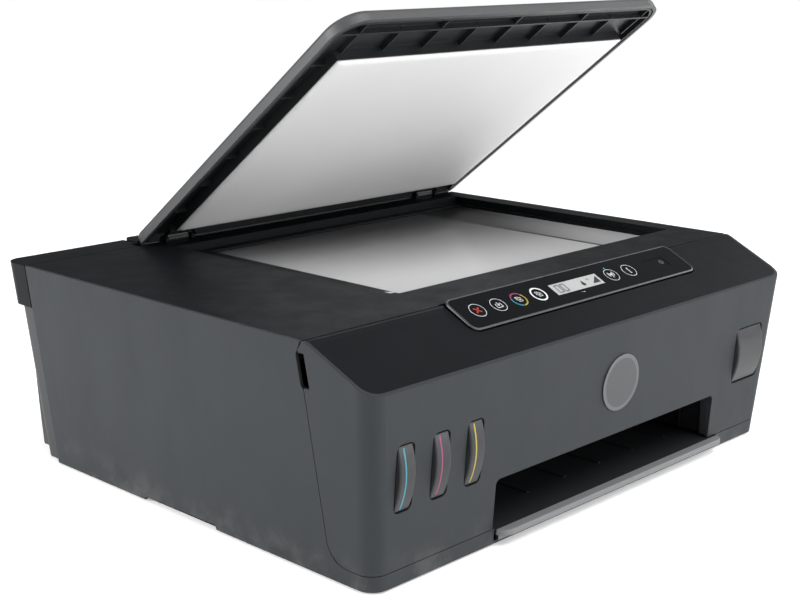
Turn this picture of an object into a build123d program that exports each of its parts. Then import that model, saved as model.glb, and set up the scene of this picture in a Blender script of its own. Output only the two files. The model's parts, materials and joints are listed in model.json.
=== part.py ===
from build123d import *
import math
import os

# A tank-fed inkjet printer, scanner and copier. Millimetres, +Z up, X across the front,
# -Y towards the person who uses it. The origin is on the table, under the middle of the body.

# ---- body envelope: every outer face leans inwards towards the base ----
BODY_WIDTH = 447.0
BODY_DEPTH = 373.0
TOP_Z = 148.8
BASE_Z = 1.3
SIDE_DRAFT = 12.9
FRONT_DRAFT = 11.9
BACK_DRAFT = 9.8
CORNER_R = 12.0
WALL = 2.4

# ---- seams ----
PANEL_BACK_Y = 158.9
STRIP_TOP_Z = 11.6
SEAM_GAP = 0.5
DOOR_PIVOT_Y = -132.6
DOOR_PIVOT_Z = 145.4
DOOR_BARREL_R = 3.8
DOOR_WALL = 2.6
DOOR_PIN_R = 1.0
DOOR_LUG_X = (203.8, 207.4)
DOOR_EAR_X = (208.0, 214.0)

# ---- scanner bed ----
RECESS_X = (-107.8, 206.0)
RECESS_Y = (-88.4, 137.6)
RECESS_FLOOR_Z = 142.8
CLEAR_X = (-82.0, 203.5)
CLEAR_Y = (-87.4, 128.0)
TRAY_FLOOR_Z = 110.0
SCAN_ROD_X = (-194.0, 206.6)
SCAN_ROD_Y, SCAN_ROD_Z, SCAN_ROD_R = 20.0, 119.0, 3.0
SCAN_BAR_X = (-128.0, -104.0)

# ---- back ----
REAR_COVER_Z = (BASE_Z + 0.1, 117.4)
TROUGH_Z = 146.0
SUPPORT_SLOT_Y = (170.0, 179.4)
SUPPORT_LENGTH = 118.0

# ---- lid, drawn closed and then opened about its hinge ----
LID_X = (-124.7, 223.2)
LID_Y = (-125.5, 163.0)
LID_Z = (149.2, 158.2)
LID_CORNER_R = 22.0
LID_RIM = 3.0
LID_TOP = 2.2
HINGE_Y = 159.5
HINGE_Z = 150.4
LID_OPEN = 37.4
PAD_X = (-105.5, 203.0)
PAD_Y = (-86.2, 135.6)
PAD_Z = (143.2, 146.0)
HINGE_X = (-90.0, 186.0)

# ---- control panel, a slab that tilts towards the user ----
PANEL_MID_X = 17.0
PANEL_SIZE = (244.0, 31.0)
PANEL_R = 6.0
PANEL_THICK = 3.2
PANEL_TILT = 27.0
PANEL_BACK = (-131.6, 152.0)
PANEL_SWEEP_R = 5.6
BUTTON_R = 7.0
BUTTON_LOW = 15.3
ROUND_BUTTONS = {
    "cancel_button": -104.4,
    "resume_button": -84.2,
    "colour_copy_button": -63.8,
    "black_copy_button": -43.4,
    "wireless_button": 37.2,
    "information_button": 57.6,
}
POWER_X = 91.0
POWER_SIZE = (24.0, 9.4)
DISPLAY_X = -2.2
DISPLAY_SIZE = (51.5, 11.0)

# ---- ink tanks and the windows they show through ----
WINDOW_Z = (48.5, 91.5)
COLOUR_WINDOW = 15.2
BLACK_WINDOW = 35.4
WINDOW_GAP = 1.2
TANK_NAMES = ("cyan", "magenta", "yellow", "black")
TANK_X = {"cyan": -189.9, "magenta": -159.5, "yellow": -129.1, "black": 181.3}
TANK_WIDTH = {"cyan": 24.0, "magenta": 26.0, "yellow": 26.0, "black": 44.0}
TANK_SHIFT = {"cyan": 1.6, "magenta": 0.0, "yellow": 0.0, "black": -2.0}
TANK_Y = (-174.0, -112.0)
TANK_Z = (44.0, 94.0)
CAP_AXIS_Y = -136.0
CAP_AXIS_Z = 99.5

# ---- paper path ----
PATH_X = 17.0
SLOT_X = (-105.6, 140.0)
SLOT_TOP_Z = 45.4
LIP_X = (-103.0, 151.2)
LIP_FRONT_Y = -183.6
TRAY_Z = (7.6, 11.3)
TRAY_BACK_Y = -24.0
ROD_Y, ROD_Z, ROD_R = 4.0, 72.0, 4.0
BELT_Y, BELT_Z, PULLEY_R = (12.6, 17.6), 90.0, 5.0
PULLEY_X = (-187.0, 187.0)
FEED_Y, FEED_Z, FEED_R = 46.0, 40.0, 10.0
OUTPUT_Y, OUTPUT_Z, OUTPUT_R = -74.0, 40.0, 6.0
FEED_TEETH, PINION_TEETH, TOOTH = 40, 14, 1.0
MESH_ANGLE = 60.0
RUNNING_FIT = 0.06
CARRIAGE_X = (138.0, 200.0)

# ---- feet ----
FEET = [(-170.0, -150.0), (170.0, -150.0), (-170.0, 140.0), (170.0, 140.0)]
FOOT_R = 9.0

PARTS = {}


# ---- helpers ----
def span(x, y, z):
    """A box between three pairs of coordinates."""
    size = [high - low for low, high in (x, y, z)]
    middle = [(high + low) / 2 for low, high in (x, y, z)]
    return Pos(*middle) * Box(*size)


def rod_x(x, y, z, radius):
    """A round bar along X."""
    return Pos((x[0] + x[1]) / 2, y, z) * Rot(0, 90, 0) * Cylinder(radius, x[1] - x[0])


def side_profile(points, x):
    """A closed outline of (y, z) points, extruded along X."""
    face = Plane.YZ * make_face(Polyline(*points, close=True))
    return Pos(x[0], 0, 0) * extrude(face, amount=x[1] - x[0], dir=(1, 0, 0))


def draft_share(z):
    """How far down the draft a height is: 0 at the top plane and 1 at the table."""
    return 1 - z / TOP_Z


def half_width(z, inset=0.0):
    return BODY_WIDTH / 2 - SIDE_DRAFT * draft_share(z) - inset


def front_y(z, inset=0.0):
    return -BODY_DEPTH / 2 + FRONT_DRAFT * draft_share(z) + inset


def back_y(z, inset=0.0):
    return BODY_DEPTH / 2 - BACK_DRAFT * draft_share(z) - inset


def outline(z, inset):
    """The body's rounded outline at one height."""
    front, back = front_y(z, inset), back_y(z, inset)
    shape = RectangleRounded(2 * half_width(z, inset), back - front, max(CORNER_R - inset, 1.5))
    return Pos(0, (front + back) / 2, z) * shape


def body_block(z, inset=0.0):
    """The body's drafted block between two heights, moved inwards by an inset."""
    return loft([outline(z[0], inset), outline(z[1], inset)])


def body_shell(z, wall, inset=0.0):
    """A drafted ring wall, open above and below."""
    return body_block(z, inset) - body_block((z[0] - 1, z[1] + 1), inset + wall)


def soften(shape, edges, radius):
    """Round edges, and leave them sharp where the round doesn't fit."""
    try:
        rounded = fillet(edges, radius)
    except Exception:
        return shape
    return rounded if rounded.is_valid else shape


def open_lid(shape):
    """Turn a piece of the closed lid to where the lid stands open."""
    return Pos(0, HINGE_Y, HINGE_Z) * Rot(-LID_OPEN, 0, 0) * Pos(0, -HINGE_Y, -HINGE_Z) * shape


def on_panel(shape):
    """Place a piece drawn flat: X across, Y up the slope from its back edge, Z out of the face."""
    return Pos(PANEL_MID_X, *PANEL_BACK) * Rot(PANEL_TILT, 0, 0) * shape


def add(name, shape):
    PARTS[name] = shape


# ---- shared outlines of the door's parting line, seen from the side as (y, z) ----
def fascia_line():
    """The sloping top of the front, from the seam down to the front edge."""
    return [(-130.7, TOP_Z - 0.1), (-133.5, 148.5), (-137.0, 147.1), (-184.6, 124.6), (-200.0, 117.2)]


def seam_line(gap=0.0):
    """The parting line down the side, from the pivot barrel to the top of the base strip."""
    return [(-126.6 - gap, 143.6), (-126.6 - gap, 142.0), (-129.3 - gap, 118.6), (-138.6 - gap, 24.0),
            (-141.6 - gap, 17.6 + gap), (-146.6 - gap, 13.3 + gap), (-154.0, STRIP_TOP_Z + gap),
            (-210.0, STRIP_TOP_Z + gap)]


def door_zone(x, gap, roof):
    """All the space that belongs to the door, as one solid."""
    top = fascia_line() if roof else [(-130.2, 170.0), (-210.0, 170.0)]
    barrel = [(DOOR_PIVOT_Y + DOOR_BARREL_R, DOOR_PIVOT_Z)]
    if not roof:
        barrel = [(-127.9, DOOR_PIVOT_Z), (-128.6, 147.4), (-130.0, 149.2)]
    return side_profile(list(reversed(seam_line(gap))) + barrel + top, x)


def finger_notch(x):
    """The hollow in the side seam where fingers lift the door."""
    return side_profile([(-133.0, 142.0), (-125.4, 142.0), (-124.9, 139.5), (-127.0, 121.5),
                         (-129.0, 119.0), (-133.6, 119.0)], x)


# ---- casing ----
def outer_casing():
    wide = (-BODY_WIDTH, BODY_WIDTH)
    shell = body_shell((BASE_Z, TOP_Z), WALL)
    shell -= door_zone(wide, 0.0, roof=False)
    shell -= finger_notch(wide)
    back = [(PANEL_BACK_Y, TOP_Z + 5), (PANEL_BACK_Y - 9.2, -5), (300, -5), (300, TOP_Z + 5)]
    shell -= side_profile(back, wide)
    grip = [(-32.0, 0.0), (-31.0, 4.6), (32.6, 4.0), (44.2, 3.4), (45.2, 0.0)]
    shell -= side_profile(grip, wide)
    shell -= span((SLOT_X[0] + 2.1, LIP_X[1] + 0.6), (-200, -160), (3.4, 40))
    return shell


def base_chassis():
    """The floor pan, with the walls of the bay that the output tray slides in."""
    pan = body_block((BASE_Z + 0.1, 3.4), WALL + 0.6) & span((-300, 300), (-172, 147), (0, 10))
    inner = (-166.0, OUTPUT_Y - 10.0)
    for x in ((SLOT_X[0] - 4.6, SLOT_X[0] - 1.6), (LIP_X[1] + 1.6, LIP_X[1] + 4.6)):
        pan += span(x, inner, (3.0, 62.0))
    right = SLOT_X[1] + 1.8
    pan += span((right, right + 2.4), inner, (14.0, 62.0))
    pan += span((right, LIP_X[1] + 2.0), (-166.0, -163.6), (14.0, 62.0))
    for y in (-150.0, -124.0, -98.0):
        pan += span((right - 1.2, right + 0.2), (y, y + 2.0), (14.0, 58.0))
    for side in (-1, 1):
        pan += span(sorted((side * 203.0, side * 206.0)), (-84.0, 120.0), (3.0, 62.0))
        pan += span(sorted((side * 203.0, side * 206.0)), (-14.0, 40.0), (60.0, 104.0))
    for name in TANK_NAMES:
        x = TANK_X[name] + TANK_SHIFT[name]
        reach = TANK_WIDTH[name] / 2 - 2.0
        pan += span((x - reach, x + reach), (-160.0, -120.0), (3.0, TANK_Z[0]))
    for y, z, radius in ((FEED_Y, FEED_Z, 3.0), (OUTPUT_Y, OUTPUT_Z, 2.5), (ROD_Y, ROD_Z, ROD_R)):
        pan -= rod_x((-220, 220), y, z, radius + RUNNING_FIT)
    return pan


def rear_cover():
    """The back panel, with the bulge over the paper turn and the two sockets' openings."""
    wide = (-BODY_WIDTH, BODY_WIDTH)
    reach = 4.0
    low, high = REAR_COVER_Z
    cover = body_block((low, high), reach)
    bulge = body_block((9.4, 86.0), 0.4) & span((-207, 207), (0, 300), (0, 200))
    cover += soften(bulge, bulge.edges().filter_by(Axis.X).group_by(Axis.Y)[-1], 4.0)
    cover -= body_block((low - 1, high + 1), reach + WALL)
    cover &= side_profile([(PANEL_BACK_Y + 0.4, TOP_Z), (PANEL_BACK_Y - 8.8, 0), (300, 0), (300, TOP_Z)], wide)
    cover -= span((-196.0, -166.0), (140, 220), (20.0, 42.0))
    cover -= span((-150.0, -136.0), (140, 220), (24.0, 37.0))
    for row in range(7):
        z = 52.0 + 4.0 * row
        cover -= span((60.0, 150.0), (140, 220), (z, z + 1.8))
    return cover


def rear_top_cover():
    """The strip behind the lid, with the slot that paper is loaded through."""
    zone = side_profile([(159.5, TOP_Z), (158.0, 118.0), (300, 118.0), (300, TOP_Z)], (-300, 300))
    strip = (body_block((118.0, TOP_Z)) & zone) - body_block((110.0, TOP_Z - WALL), WALL)
    trough = span((LID_X[0] - 1.5, 300), (100, 168.6), (TROUGH_Z, 160))
    strip += span((LID_X[0] - 4, half_width(TROUGH_Z) - 3), (159.6, 171.0), (TROUGH_Z - 2, TOP_Z - 1))
    strip -= trough
    strip -= span((PATH_X - 130, PATH_X + 130), SUPPORT_SLOT_Y, (100, 160))
    strip -= span((PATH_X - 137, PATH_X + 137), (168.6, 300), (TOP_Z - 1.4, 160))
    for x in (-128.0, 126.0):
        strip += span((PATH_X + x, PATH_X + x + 2.0), (169.0, 174.2), (120.0, TOP_Z - 2.0))
    return strip


# ---- the door that makes up the whole front ----
def windows(grow=0.0):
    """The rounded openings that the ink tanks show through."""
    cuts = []
    middle = (WINDOW_Z[0] + WINDOW_Z[1]) / 2
    height = WINDOW_Z[1] - WINDOW_Z[0]
    for name in TANK_NAMES:
        width = BLACK_WINDOW if name == "black" else COLOUR_WINDOW
        shape = Plane.XZ * Pos(TANK_X[name], middle) * RectangleRounded(width + grow, height + grow, 4.2)
        cuts.append(Pos(0, -150, 0) * extrude(shape, amount=60))
    return cuts


def front_door():
    """Front panel and both cheeks in one moulding."""
    wide = (-BODY_WIDTH, BODY_WIDTH)
    floor = STRIP_TOP_Z + SEAM_GAP
    shell = body_shell((floor, TOP_Z), DOOR_WALL) & door_zone(wide, SEAM_GAP, roof=True)
    shell -= side_profile([(-132.0, 141.4), (-126.0, 141.4), (-127.0, 120.0), (-134.6, 120.0)], wide)
    for cut in windows():
        shell -= cut
    slot = Plane.XZ * Pos((SLOT_X[0] + SLOT_X[1]) / 2, 0) * RectangleRounded(
        SLOT_X[1] - SLOT_X[0], 2 * SLOT_TOP_Z, 4.0)
    shell -= Pos(0, -150, 0) * extrude(slot, amount=60)
    hood = span((SLOT_X[0] - 2.0, SLOT_X[1] + 1.8), (front_y(50, 1.0), -168.0), (SLOT_TOP_Z + 0.1, 47.6))
    shell += hood
    jamb = span((SLOT_X[1] - 0.1, SLOT_X[1] + 1.7), (front_y(14, 1.0), -168.0), (13.4, 47.6))
    shell += jamb & body_block((10, 60), 0.8)
    return shell


def fascia():
    """The dark sloping cap between the cheeks, with the well under the control panel."""
    wide = (-BODY_WIDTH, BODY_WIDTH)
    inner = DOOR_WALL + 0.1
    roof = fascia_line()[:4] + [(-184.6, 122.0), (-133.0, 145.2 - 3.6), (-130.7, 145.0)]
    cap = side_profile(roof, wide) & body_block((110, TOP_Z), inner)
    lining = [(-131.8, 140.2), (-133.5, 146.0), (-137.0, 144.5), (-179.0, 124.6), (-179.0, 110.0),
              (-133.5, 110.0)]
    cap -= side_profile(lining, (-215.0, 215.0))
    for side in (-1, 1):
        ear = sorted(side * x for x in DOOR_EAR_X)
        cap += rod_x(ear, DOOR_PIVOT_Y, DOOR_PIVOT_Z, DOOR_BARREL_R - 0.6)
        cap += side_profile([(-131.6, 142.4), (-144.0, 136.0), (-144.0, 142.0), (-134.0, 146.4)], ear)
    well = on_panel(Pos(0, -PANEL_SIZE[1] / 2, -PANEL_THICK / 2 - 0.6) * extrude(
        RectangleRounded(PANEL_SIZE[0] + 2.4, PANEL_SIZE[1] + 2.4, PANEL_R + 1.2), amount=12, both=True))
    floor = on_panel(span((-125, 125), (-34, 3.0), (-8.4, -6.4)))
    rim = on_panel(span((-125, 125), (-34, 3.0), (-8.4, 4.0))) - well
    cap -= well & on_panel(span((-130, 130), (-40, 6.0), (-6.4, 20)))
    cap += floor & body_block((100, TOP_Z), inner) & side_profile(
        [(-130.9, 148.6), (-184.0, 124.8), (-184.0, 100), (-130.9, 100)], wide)
    trimmed = rim & side_profile([(-131.2, 148.2), (-184.6, 122.9), (-184.6, 100), (-131.2, 100)], wide)
    cap += trimmed & side_profile(fascia_line()[:4] + [(-184.6, 100), (-130.7, 100)], wide)
    under_skin = [(-129.0, 147.75), (-133.45, 147.5), (-136.8, 146.1), (-138.5, 145.3), (-138.5, 139.0),
                  (-129.0, 139.0)]
    for side in (-1, 1):
        room = sorted((side * (DOOR_LUG_X[0] - 0.6), side * DOOR_EAR_X[0]))
        cap -= side_profile(under_skin, room)
    cap -= rod_x((-300, 300), DOOR_PIVOT_Y, DOOR_PIVOT_Z, DOOR_PIN_R + RUNNING_FIT)
    return cap


def control_panel():
    """The floating slab, with an opening for each button and the display."""
    flat = Pos(0, -PANEL_SIZE[1] / 2) * RectangleRounded(*PANEL_SIZE, PANEL_R)
    slab = Pos(0, 0, -PANEL_THICK) * extrude(flat, amount=PANEL_THICK)
    slab = soften(slab, slab.edges().group_by(Axis.Z)[-1], 0.7)
    under = [(1.0, -1.0), (0.0, -1.0), (-4.0, -PANEL_THICK), (-4.0, -5.0), (1.0, -5.0)]
    slab -= side_profile(under, (-PANEL_SIZE[0], PANEL_SIZE[0]))
    for x in (-110.0, -20.0, 70.0, 108.0):
        slab += Pos(x, -9.0, -PANEL_THICK - 0.75) * Cylinder(2.2, 1.7)
    for x in ROUND_BUTTONS.values():
        slab -= Pos(x, -BUTTON_LOW) * Cylinder(BUTTON_R + 0.25, 20)
    slab -= Pos(POWER_X, -BUTTON_LOW) * Box(POWER_SIZE[0] + 0.5, POWER_SIZE[1] + 0.5, 20)
    slab -= Pos(DISPLAY_X, -BUTTON_LOW, 0.9) * Box(*DISPLAY_SIZE, 3.0)
    return on_panel(slab)


def panel_button(x):
    """A round key cap with its stem."""
    cap = Cylinder(BUTTON_R, 1.6, align=(Align.CENTER, Align.CENTER, Align.MAX))
    cap = soften(cap, cap.edges().group_by(Axis.Z)[-1], 0.3)
    stem = Pos(0, 0, -1.6) * Cylinder(2.0, 2.2, align=(Align.CENTER, Align.CENTER, Align.MAX))
    return on_panel(Pos(x, -BUTTON_LOW, 0.1) * (cap + stem))


def power_button():
    cap = Pos(0, 0, -0.8) * Box(*POWER_SIZE, 1.6)
    cap = soften(cap, cap.edges().filter_by(Axis.Z), 1.0)
    stem = Pos(6.0, 0, -2.7) * Cylinder(2.0, 2.2)
    return on_panel(Pos(POWER_X, -BUTTON_LOW, -0.2) * (cap + stem))


def display_window():
    return on_panel(Pos(DISPLAY_X, -BUTTON_LOW, -0.35) * Box(*DISPLAY_SIZE, 0.5))


def control_board():
    """The board under the panel that carries its switches."""
    return on_panel(span((-116, 112), (-24.5, -6.4), (-6.2, -4.9)))


def front_badge():
    """A plain round badge on the front panel."""
    z = 82.6
    lean = math.degrees(math.atan2(FRONT_DRAFT, TOP_Z))
    disc = Cylinder(20.0, 1.0)
    disc = soften(disc, disc.edges().group_by(Axis.Z)[-1], 0.35)
    return Pos(18.2, front_y(z) - 0.62, z) * Rot(90 + lean, 0, 0) * disc


# ---- scanner ----
def scanner_top_frame():
    """The dark top plate, sunk around the glass."""
    top = body_block((136.0, TOP_Z), WALL + 0.5) & span((-300, 300), (-140, 158.4), (0, 200))
    top -= body_block((130.0, TOP_Z - 2.4), WALL + 3.0) & span((-300, 300), (-200, 156.0), (0, 200))
    top -= span((-300, 300), (-200, -130.1), (0, 200))
    top -= rod_x((-300, 300), DOOR_PIVOT_Y, DOOR_PIVOT_Z, DOOR_BARREL_R + SEAM_GAP)
    sweep_x = (PANEL_MID_X - PANEL_SIZE[0] / 2 - 1.0, PANEL_MID_X + PANEL_SIZE[0] / 2 + 1.0)
    top -= rod_x(sweep_x, DOOR_PIVOT_Y, DOOR_PIVOT_Z, PANEL_SWEEP_R)
    top -= finger_notch((-300, 300))
    x, y = RECESS_X, RECESS_Y
    top += span((x[0] - 2, x[1] + 2), (y[0] - 2, y[1] + 2), (RECESS_FLOOR_Z - 2, TOP_Z - 1))
    top -= span(x, y, (RECESS_FLOOR_Z, 200))
    top -= span(CLEAR_X, CLEAR_Y, (100, 200))
    for hinge in HINGE_X:
        top -= span((hinge - 11, hinge + 11), (150.0, 200), (144.5, 200))
        top += span((hinge - 11, hinge + 11), (149.0, 157.0), (142.5, 145.0))
        for side in (-1, 1):
            ear = sorted((hinge + side * 10.8, hinge + side * 13.6))
            block = span(ear, (154.6, 158.3), (145.0, HINGE_Z + 2.0))
            top += block + rod_x(ear, HINGE_Y - 1.2, HINGE_Z, 2.6)
        top -= rod_x((hinge - 20, hinge + 20), HINGE_Y, HINGE_Z, 1.5)
    web = [(-132.6, 143.6), (-131.0, 144.9), (-126.5, 144.9), (-126.5, 146.6), (-124.5, 146.6),
           (-124.5, 142.2), (-131.5, 142.2)]
    for side in (-1, 1):
        lug = sorted(side * x for x in DOOR_LUG_X)
        top += side_profile(web, lug) + rod_x(lug, DOOR_PIVOT_Y, DOOR_PIVOT_Z, DOOR_PIN_R + 0.8)
        top -= rod_x(lug, DOOR_PIVOT_Y, DOOR_PIVOT_Z, DOOR_PIN_R)
    return top & span((-300, 300), (-200, 164.0), (0, 200))


def scanner_glass():
    return span((CLEAR_X[0] - 8, CLEAR_X[1] + 3), (CLEAR_Y[0] - 4, CLEAR_Y[1] + 6),
                (RECESS_FLOOR_Z - 4.8, RECESS_FLOOR_Z - 2.0))


def scanner_tray():
    """The tub under the glass that the scan bar runs in."""
    x, y = (-196.0, 208.6), (-124.0, 150.0)
    tub = span(x, y, (TRAY_FLOOR_Z, 135.6)) - span((x[0] + 2, x[1] - 2), (y[0] + 2, y[1] - 2),
                                                  (TRAY_FLOOR_Z + 2, 200))
    for rib in range(9):
        start = x[0] + 36 + rib * 40
        tub += span((start, start + 1.6), (y[0] + 1, y[1] - 1), (TRAY_FLOOR_Z + 1.9, TRAY_FLOOR_Z + 5))
    return tub


def scan_bar():
    """The contact image sensor on its sledge, parked at the left."""
    low, high = SCAN_BAR_X
    sledge = span((low, high), (-92.0, 132.0), (121.0, 131.0))
    sledge += span((low + 4, high - 4), (SCAN_ROD_Y - 12, SCAN_ROD_Y + 12), (115.4, 122.0))
    sledge = soften(sledge, sledge.edges().filter_by(Axis.Z), 1.5)
    sledge += span((low + 7, high - 7), (-90.0, 130.0), (130.0, 133.4))
    return sledge - rod_x((low - 9, high + 9), SCAN_ROD_Y, SCAN_ROD_Z, SCAN_ROD_R + RUNNING_FIT)


# ---- lid ----
def lid_block(inset, z):
    """The lid's plan outline as a block, tighter at the hinge end's corners."""
    x, y = LID_X, LID_Y
    width, depth = x[1] - x[0] - 2 * inset, y[1] - y[0] - 2 * inset
    plan = Pos((x[0] + x[1]) / 2, (y[0] + y[1]) / 2) * Rectangle(width, depth)
    plan = fillet(plan.vertices().group_by(Axis.Y)[0], LID_CORNER_R - inset)
    plan = fillet(plan.vertices().group_by(Axis.Y)[-1], 8.0 - inset)
    return Pos(0, 0, z[0]) * extrude(plan, amount=z[1] - z[0])


def lid_shell():
    outer = lid_block(0.0, LID_Z)
    outer = soften(outer, outer.edges().group_by(Axis.Z)[-1], 4.2)
    outer -= lid_block(LID_RIM, (LID_Z[0] - 1, LID_Z[1] - LID_TOP))
    for hinge in HINGE_X:
        outer -= span((hinge - 16, hinge + 16), (150.5, 170.0), (140.0, 153.8))
    return open_lid(outer)


def lid_inner_frame():
    """The ribbed liner that carries the pad."""
    roof = LID_Z[1] - LID_TOP - 0.1
    liner = lid_block(LID_RIM + 0.9, (roof - 1.8, roof))
    low = LID_Z[0] + 0.5
    ring = lid_block(LID_RIM + 0.9, (low, roof - 1)) - lid_block(LID_RIM + 3.0, (low - 1, roof))
    liner += ring
    x, y = (PAD_X[0] - 0.2, PAD_X[1] + 0.2), (PAD_Y[0] - 0.2, PAD_Y[1] + 0.2)
    liner += span(x, y, (PAD_Z[1], roof - 1))
    liner -= span((x[0] + 2, x[1] - 2), (y[0] + 2, y[1] - 2), (PAD_Z[1] + 1.6, roof - 1.8))
    edge = lid_block(LID_RIM + 1.5, (low, roof - 1))
    ribs = span((-200, 300), (-109.6, -108.0), (low, roof - 1))
    for place in range(9):
        rib = -61.0 + 38.5 * (place - 1)
        ribs += span((rib - 0.7, rib + 0.7), (-110, PAD_Y[0]), (low + 0.8, roof - 1))
    for place in range(5):
        rib = -99.5 + 77.0 * place
        ribs += span((rib - 0.7, rib + 0.7), (-128, -109), (low + 0.8, roof - 1))
    for rib in (-74.0, -36.0, 2.0, 40.0, 78.0, 116.0):
        ribs += span((-130, PAD_X[0]), (rib - 0.7, rib + 0.7), (low + 0.8, roof - 1))
        ribs += span((PAD_X[1], 230), (rib - 0.7, rib + 0.7), (low + 0.8, roof - 1))
    liner += ribs & edge
    for hinge in HINGE_X:
        liner -= span((hinge - 17, hinge + 17), (149.5, 170.0), (140.0, 153.8))
    return open_lid(liner)


def lid_pad():
    pad = span(PAD_X, PAD_Y, PAD_Z)
    return open_lid(soften(pad, pad.edges().filter_by(Axis.Z), 2.0))


def hinge_arms():
    """Two moulded arms that carry the lid on its pins."""
    arms = []
    for hinge in HINGE_X:
        x = (hinge - 9.6, hinge + 9.6)
        arm = rod_x(x, HINGE_Y, HINGE_Z, 3.0)
        arm += side_profile([(150.8, 153.7), (150.8, 151.6), (156.0, 151.6), (157.0, 149.4),
                             (160.4, 153.2), (160.4, 153.7)], x)
        arm -= rod_x((hinge - 20, hinge + 20), HINGE_Y, HINGE_Z, 1.5 + RUNNING_FIT)
        arms.append(open_lid(arm))
    return Compound(arms)


def hinge_pins():
    """Steel pins: two carry the lid, two carry the door."""
    pins = [rod_x((hinge - 13.6, hinge + 13.6), HINGE_Y, HINGE_Z, 1.5) for hinge in HINGE_X]
    pins += [rod_x(sorted((side * DOOR_LUG_X[0], side * 216.4)), DOOR_PIVOT_Y, DOOR_PIVOT_Z, DOOR_PIN_R)
             for side in (-1, 1)]
    return Compound(pins)


# ---- paper handling ----
def output_tray():
    """The sliding tray, whose lip closes the bottom of the slot."""
    lip = span(LIP_X, (LIP_FRONT_Y, -166.0), TRAY_Z)
    lip = soften(lip, lip.edges().filter_by(Axis.Z).group_by(Axis.Y)[0], 9.0)
    lip = soften(lip, lip.edges().group_by(Axis.Z)[-1].group_by(Axis.Y)[0], 1.0)
    plate = span((SLOT_X[0] + 2.2, LIP_X[1] - 0.4), (-168.0, TRAY_BACK_Y), TRAY_Z)
    apron = span((LIP_X[0] + 2.0, LIP_X[1] - 2.0), (-177.0, -174.6), (3.8, TRAY_Z[0] + 0.2))
    tray = lip + plate + apron
    tray -= span((PATH_X - 62.4, PATH_X + 62.4), (-190.0, -170.0), (0.0, TRAY_Z[0]))
    for x in range(-80, 121, 40):
        tray += span((x, x + 1.6), (-150.0, TRAY_BACK_Y), (TRAY_Z[1] - 0.2, TRAY_Z[1] + 0.7))
    return tray


def tray_extender():
    """The slider under the tray that holds long sheets."""
    plate = span((PATH_X - 60, PATH_X + 60), (-176.6, -52.0), (4.4, 7.2))
    plate = soften(plate, plate.edges().filter_by(Axis.Z).group_by(Axis.Y)[0], 8.0)
    return plate - span((PATH_X - 28, PATH_X + 28), (-150.0, -90.0), (0, 10))


def paper_support():
    """The pull-up rest behind the paper, with the cap that closes the loading slot."""
    cap = span((PATH_X - 136, PATH_X + 136), (168.9, 186.0), (TOP_Z - 1.2, TOP_Z + 2.0))
    cap = soften(cap, cap.edges().filter_by(Axis.Z), 3.0)
    cap = soften(cap, cap.edges().group_by(Axis.Z)[-1], 1.0)
    lean = BACK_DRAFT / TOP_Z
    low = TOP_Z - SUPPORT_LENGTH
    foot_y = 176.4 - lean * SUPPORT_LENGTH
    rest = side_profile([(176.4, TOP_Z - 1.0), (foot_y, low), (foot_y + 2.2, low), (178.6, TOP_Z - 1.0)],
                        (PATH_X - 124, PATH_X + 124))
    return cap + rest


def paper_guide(side):
    """One of the two fences that centre the paper."""
    x = PATH_X + side * 110.0
    fence = span((x - 1.2, x + 1.2), (171.4, 173.6), (112.0, 145.6))
    foot = span(sorted((x, x - side * 16.0)), (171.4, 172.6), (112.0, 124.0))
    return fence + foot


def gear_teeth(teeth, bore, width):
    """A plain spur gear with straight-sided teeth."""
    pitch = TOOTH * teeth / 2
    root, tip = pitch - 1.25 * TOOTH, pitch + 0.9 * TOOTH
    wheel = Circle(root)
    half = math.pi * TOOTH / 4
    tooth = make_face(Polyline((root - 0.4, -half * 1.15), (tip, -half * 0.42), (tip, half * 0.42),
                               (root - 0.4, half * 1.15), close=True))
    for place in range(teeth):
        wheel += Rot(0, 0, place * 360 / teeth) * tooth
    wheel -= Circle(bore)
    return extrude(wheel, amount=width / 2, both=True)


def feed_roller():
    """The paper feed shaft with its rubber tyres and its gear."""
    shaft = rod_x((-205.8, 205.8), FEED_Y, FEED_Z, 3.0)
    for x in (-90.0, -30.0, 30.0, 90.0):
        shaft += rod_x((PATH_X + x - 14, PATH_X + x + 14), FEED_Y, FEED_Z, FEED_R)
    gear = Rot(0, 90, 0) * Rot(0, 0, mesh_angle(MESH_ANGLE)) * gear_teeth(FEED_TEETH, 2.9, 5.0)
    return shaft + Pos(-198.0, FEED_Y, FEED_Z) * gear


def mesh_angle(direction):
    """The turn that puts a tooth in a direction measured from +Y towards +Z."""
    radians = math.radians(direction)
    return math.degrees(math.atan2(math.cos(radians), -math.sin(radians)))


def pinion_place():
    """The motor pinion sits above and behind the feed gear."""
    reach = TOOTH * (FEED_TEETH + PINION_TEETH) / 2 + 0.15
    angle = math.radians(MESH_ANGLE)
    return FEED_Y + reach * math.cos(angle), FEED_Z + reach * math.sin(angle)


def feed_pinion():
    y, z = pinion_place()
    turn = mesh_angle(MESH_ANGLE + 180) + 180 / PINION_TEETH
    return Pos(-198.0, y, z) * Rot(0, 90, 0) * Rot(0, 0, turn) * gear_teeth(
        PINION_TEETH, 1.5 + RUNNING_FIT, 6.0)


def feed_motor():
    y, z = pinion_place()
    can = rod_x((-190.0, -160.0), y, z, 14.0)
    can = soften(can, can.edges().filter_by(GeomType.CIRCLE), 1.5)
    return can + rod_x((-202.0, -189.0), y, z, 1.5)


def output_roller():
    shaft = rod_x((-205.8, 205.8), OUTPUT_Y, OUTPUT_Z, 2.5)
    for x in (-80.0, -27.0, 27.0, 80.0):
        shaft += rod_x((PATH_X + x - 8, PATH_X + x + 8), OUTPUT_Y, OUTPUT_Z, OUTPUT_R)
    return shaft


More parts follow.
